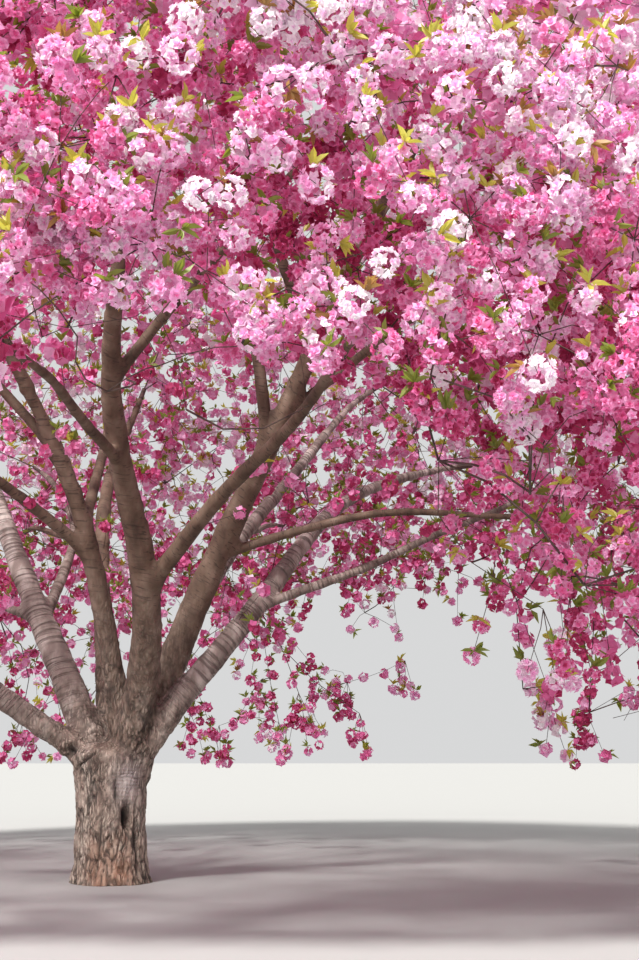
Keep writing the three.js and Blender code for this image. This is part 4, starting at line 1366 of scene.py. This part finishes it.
def fill_between(sprays, lines):
    """More sprays anywhere in the crown that has room between the others, on twigs of their own."""
    count = FILL["tries"]
    compass = 360 * DRAWS.random(count)
    draw = DRAWS.random(count) / FILL["below_waist"] - 1
    top = 1 / FILL["below_waist"] - 1
    level = np.where(draw < 0, draw, np.arcsin(np.clip(draw / top, 0, 1)) * 2 / np.pi)
    surface = crown_surface(compass, level)
    outward = outward_at(surface)
    reach = drawn(FILL["reach"], count)
    deeper = drawn(FILL["deep"], count) * (DRAWS.random(count) < FILL["deep_share"])
    dents = noise_at(surface * FILL["dent_scale"], FILL["seed"])
    deeper = deeper + FILL["dent"] * np.maximum(dents, 0)
    points = surface - outward * (SPRAY["thick"] * reach + deeper)[:, None]
    low, left_out = at_hem(points, DRAWS.random(count))
    bare = left_out | in_opening(points, DRAWS.random(count))
    farthest = np.where(low, FILL["hem_twig"], np.inf)
    apart = np.where(seen_behind(points), FILL["behind_apart"], FILL["apart"])
    apart = np.where(in_dense_part(points), FILL["dense_apart"], apart)
    taken = [spray["point"] for spray in sprays]
    reaches = [spray["reach"] for spray in sprays]
    joints = lines[:, 1:].reshape(-1, 3)
    added, ways = [], []
    for number in range(count):
        way = length_of(np.array(taken) - points[number])
        runs = length_of(joints - points[number])
        if (not bare[number] and runs.min() < farthest[number]
                and (way > apart[number] * (np.array(reaches) + reach[number])).all()):
            taken.append(points[number])
            reaches.append(reach[number])
            foot = joints[runs.argmin()]
            ways.append(arched(foot, points[number], *FILL["radius"]))
            added.append({"point": points[number], "outward": outward[number],
                          "reach": float(reach[number]), "level": float(level[number]),
                          "tint": DRAWS.normal()})
    lines, radii = (np.array(group) for group in zip(*ways))
    return added, lines, radii


def make_leaves(clusters):
    """Young leaves in small tufts that stand out of some clusters."""
    _, _, distance, seen = in_photograph(clusters["place"])
    share = np.where(seen, np.where(distance < DETAIL["mid"], LEAF["near"], LEAF["seen"]),
                     LEAF["unseen"])
    chosen = DRAWS.random(len(seen)) < share
    places, radii, tints = (clusters[key][chosen] for key in ("place", "radius", "tint"))
    count = DRAWS.integers(LEAF["count"][0], LEAF["count"][1] + 1, len(places))
    owner = np.repeat(np.arange(len(places)), count)
    total = len(owner)
    up, aside = LEAF["tuft"]
    lean = unit(UP * up + aside * DRAWS.normal(size=places.shape))
    way = unit(lean[owner] + LEAF["spread"] * DRAWS.normal(size=(total, 3)))
    base = (places + lean * (radii * LEAF["off"])[:, None])[owner]
    length = drawn(LEAF["length"], total)[:, None]
    side = unit(np.cross(way, UP + LEAF["roll"] * DRAWS.normal(size=(total, 3))))
    face = np.cross(side, way)
    near = in_photograph(base)[2] < DETAIL["mid"]
    # Leaves follow their cluster's tint, painted shade included: clusters deep in the crown and on
    # its underside get the greener, darker leaves
    greener_in_shade, luck, least = LEAF["greener_in_shade"]
    kind = np.floor(tints * greener_in_shade + luck * DRAWS.random(len(places)) + least)
    kind = np.clip(kind, 0, len(LEAVES) - 1)[owner]
    gathered = []
    for number in range(len(LEAVES)):
        parts = []
        for shape, some in ((LEAF_SHAPES["near"], near), (LEAF_SHAPES["far"], ~near)):
            some = some & (kind == number)
            run, across, lift = (np.array(column)[None, :, None] for column in zip(*shape["points"]))
            spread = length[some][:, None] * (
                way[some][:, None] * run + side[some][:, None] * across * LEAF["width"] / 2
                + face[some][:, None] * lift * LEAF["fold"])
            parts.append(repeated(base[some][:, None] + spread, np.array(shape["faces"])))
        gathered.append(parts)
    return soft_pieces(LEAVES, gathered, "leaf")


def soft_pieces(kinds, gathered, skin):
    """One piece for each kind of petal or leaf, joined from its parts."""
    return [mesh_piece(name, *joined(parts), soft_material(name, colour, glow, skin), smooth=False)
            for (name, colour, glow), parts in zip(kinds, gathered)]


def spread_copies(pattern, places, turns, sizes):
    points, faces = pattern
    spread = np.einsum("nij,vj->nvi", turns, points) * sizes[:, None, None] + places[:, None]
    return repeated(spread, faces)


def make_blossom(clusters):
    places, radii, tints = clusters["place"], clusters["radius"], clusters["tint"]
    _, row, distance, inside = in_photograph(places)
    detail = np.where(distance < DETAIL["near"], 0, np.where(distance < DETAIL["mid"], 1, 2))
    hidden = (distance > DETAIL["hidden"]) & (row < DETAIL["hidden_row"])
    detail = np.where(inside & ~hidden, detail, 3)
    variant = DRAWS.integers(0, VARIANTS, len(places))
    ways = unit(DRAWS.normal(size=(len(places), 3)))
    spin = turned_to(ways, SPIN * DRAWS.random(len(places)))
    deepest = len(PETALS) - 1
    tint = np.clip(np.round(tints), 0, deepest)
    gathered = [[] for _ in PETALS]
    pattern_draws = np.random.default_rng(PATTERN_SEED)
    for number, name in enumerate(FLOWERS):
        for version in range(VARIANTS):
            groups = cluster_pattern(name, pattern_draws)
            for (step, pattern), shade in itertools.product(groups.items(), range(len(PETALS))):
                some = (detail == number) & (variant == version) & (tint == shade)
                if some.any():
                    copies = spread_copies(pattern, places[some], spin[some], radii[some])
                    gathered[max(0, min(deepest, shade + step))].append(copies)
    return soft_pieces(PETALS, gathered, "petal")


def thinned_out_of_view(clusters):
    """Larger clusters outside the photograph, few of them deep, and smaller ones far in it."""
    column, row, distance, inside = in_photograph(clusters["place"])
    low = row > np.interp(column, *np.transpose(NEAR_EDGE))
    far = distance > np.where(low, beyond_opening(column), OPENING["starts"][0])
    size = np.where(inside, np.where(far, OPENING["smaller"], 1), UNSEEN["larger"])
    clusters["radius"] = clusters["radius"] * size
    kept = np.interp(crown_depth(clusters["place"]), UNSEEN["depths"], UNSEEN["kept"])
    keep = inside | (DRAWS.random(len(inside)) < kept)
    return chosen_rows(clusters, keep)


def make_twigs(lines, radii, shoots, clusters, material):
    """The masses' twigs, and the shoots, each of which ends in its outermost cluster."""
    shares = np.array(SHOOT["shares"])
    outward = np.argsort(clusters["share"], kind="stable")
    outward = outward[clusters["shoot"][outward] >= 0]
    outermost = np.full(len(shoots["tint"]), -1)
    outermost[clusters["shoot"][outward]] = outward
    kept = outermost >= 0
    shoots = chosen_rows(shoots, kept)
    reached = clusters["share"][outermost[kept]]
    shoot_lines = np.stack([along_shoot(shoots, reached * share) for share in shares], axis=1)
    shoot_lines[:, -1] = clusters["place"][outermost[kept]]
    thin = np.broadcast_to(mix(*SHOOT["radius"], shares), shoot_lines.shape[:2])
    parts = [tubes(lines, radii, TWIG["sides"]), tubes(shoot_lines, thin, TWIG["sides"])]
    return mesh_piece("twigs", *joined(parts), material)


def make_tree():
    bark, twig_bark = bark_material(), twig_material()
    wood = make_wood(bark)
    limbs = make_limbs(bark)
    sprays, lines, radii, twig_rows = grow_masses()
    more, more_lines, more_radii = fill_between(sprays, lines)
    tints = [spray["tint"] for spray in sprays + more]
    twig_lines = np.concatenate([lines[twig_rows], more_lines])
    lines, radii = np.concatenate([lines, more_lines]), np.concatenate([radii, more_radii])
    crown_shoots, side_shoots = shoots_of_sprays(sprays + more), shoots_of_limbs()
    shoots = stacked(crown_shoots, side_shoots)
    side = clusters_of(side_shoots, CLUSTER["from"]["limb"])
    side["shoot"] += len(crown_shoots["tint"])
    clusters = stacked(clusters_of(crown_shoots, CLUSTER["from"]["spray"]), side,
                       clusters_on_twigs(twig_lines, tints))
    keep = clear_of_limbs(clusters["place"], CLUSTER["below_limbs"]) > CLUSTER["off_boughs"]
    keep &= crown_depth(clusters["place"]) > -CLUSTER["outside"]
    luck = DRAWS.random(len(shoots["tint"]) + 1)[clusters["shoot"]]
    keep &= ~in_opening(clusters["place"], luck)
    from_hem = np.append(at_hem(shoots["start"], 0)[0], True)[clusters["shoot"]]
    keep &= from_hem | ~at_hem(clusters["place"], luck)[1]
    clusters = chosen_rows(clusters, keep)
    clusters["tint"] = tints_with_painted_light(clusters)
    clusters = thinned_out_of_view(clusters)
    twigs = make_twigs(lines, radii, shoots, clusters, twig_bark)
    blossom = make_blossom(clusters)
    leaves = make_leaves(clusters)
    masses = [name for name in frame["nodes"] if kind_of(name) == "blossom"]
    for piece, nodes, slot in (
        (wood, [n for n in frame["nodes"] if kind_of(n) in ("trunk", "bough")], "trunk_bark"),
        (limbs, [n for n in frame["nodes"] if kind_of(n) == "limb"], "limb_bark"),
        (twigs, masses, "limb_bark"),
        *((piece, masses, "blossom") for piece in blossom),
        *((piece, masses, "leaf") for piece in leaves),
    ):
        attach(piece, "root")
        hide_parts(*nodes)


# Floor and light
FLOOR = {"reach": 150, "colour": (0.36, 0.36, 0.35, 1), "scale": 3.0, "roughness": (0.8, 0.95)}
SKY = {"Color": (0.95, 0.955, 0.96, 1), "Strength": 0.72}
# Name, strength, apparent size, tilt and turn of each light, in degrees
LIGHTS = (("key", 6.5, 9, 40, -26), ("fill", 1.0, 60, 72, -12))
LIGHT_COLOUR = (1.0, 0.98, 0.95)


def make_stage():
    ground = Material("floor")
    noise = ground.noise(ground.place(), FLOOR["scale"])
    rough = ground.spread(noise, *FLOOR["roughness"])
    ground.fill(ground.shader, {"Base Color": FLOOR["colour"], "Roughness": rough})
    corners = np.array([(-1, -1, 0), (1, -1, 0), (1, 1, 0), (-1, 1, 0)]) * FLOOR["reach"]
    floor = mesh_piece("floor", corners, np.array([[0, 1, 2, 3]]), ground.data, smooth=False)
    world = bpy.data.worlds.new("studio")
    world.use_nodes = True
    for key, value in SKY.items():
        world.node_tree.nodes["Background"].inputs[key].default_value = value
    bpy.context.scene.world = world
    for name, energy, spread, tilt, turn in LIGHTS:
        light = bpy.data.lights.new(name, "SUN")
        light.energy = energy
        light.angle = math.radians(spread)
        light.color = LIGHT_COLOUR
        holder = bpy.data.objects.new(name, light)
        holder.rotation_euler = (math.radians(tilt), 0, math.radians(turn))
        bpy.context.scene.collection.objects.link(holder)


make_stage()
make_tree()
bpy.context.scene.view_settings.view_transform = "Standard"
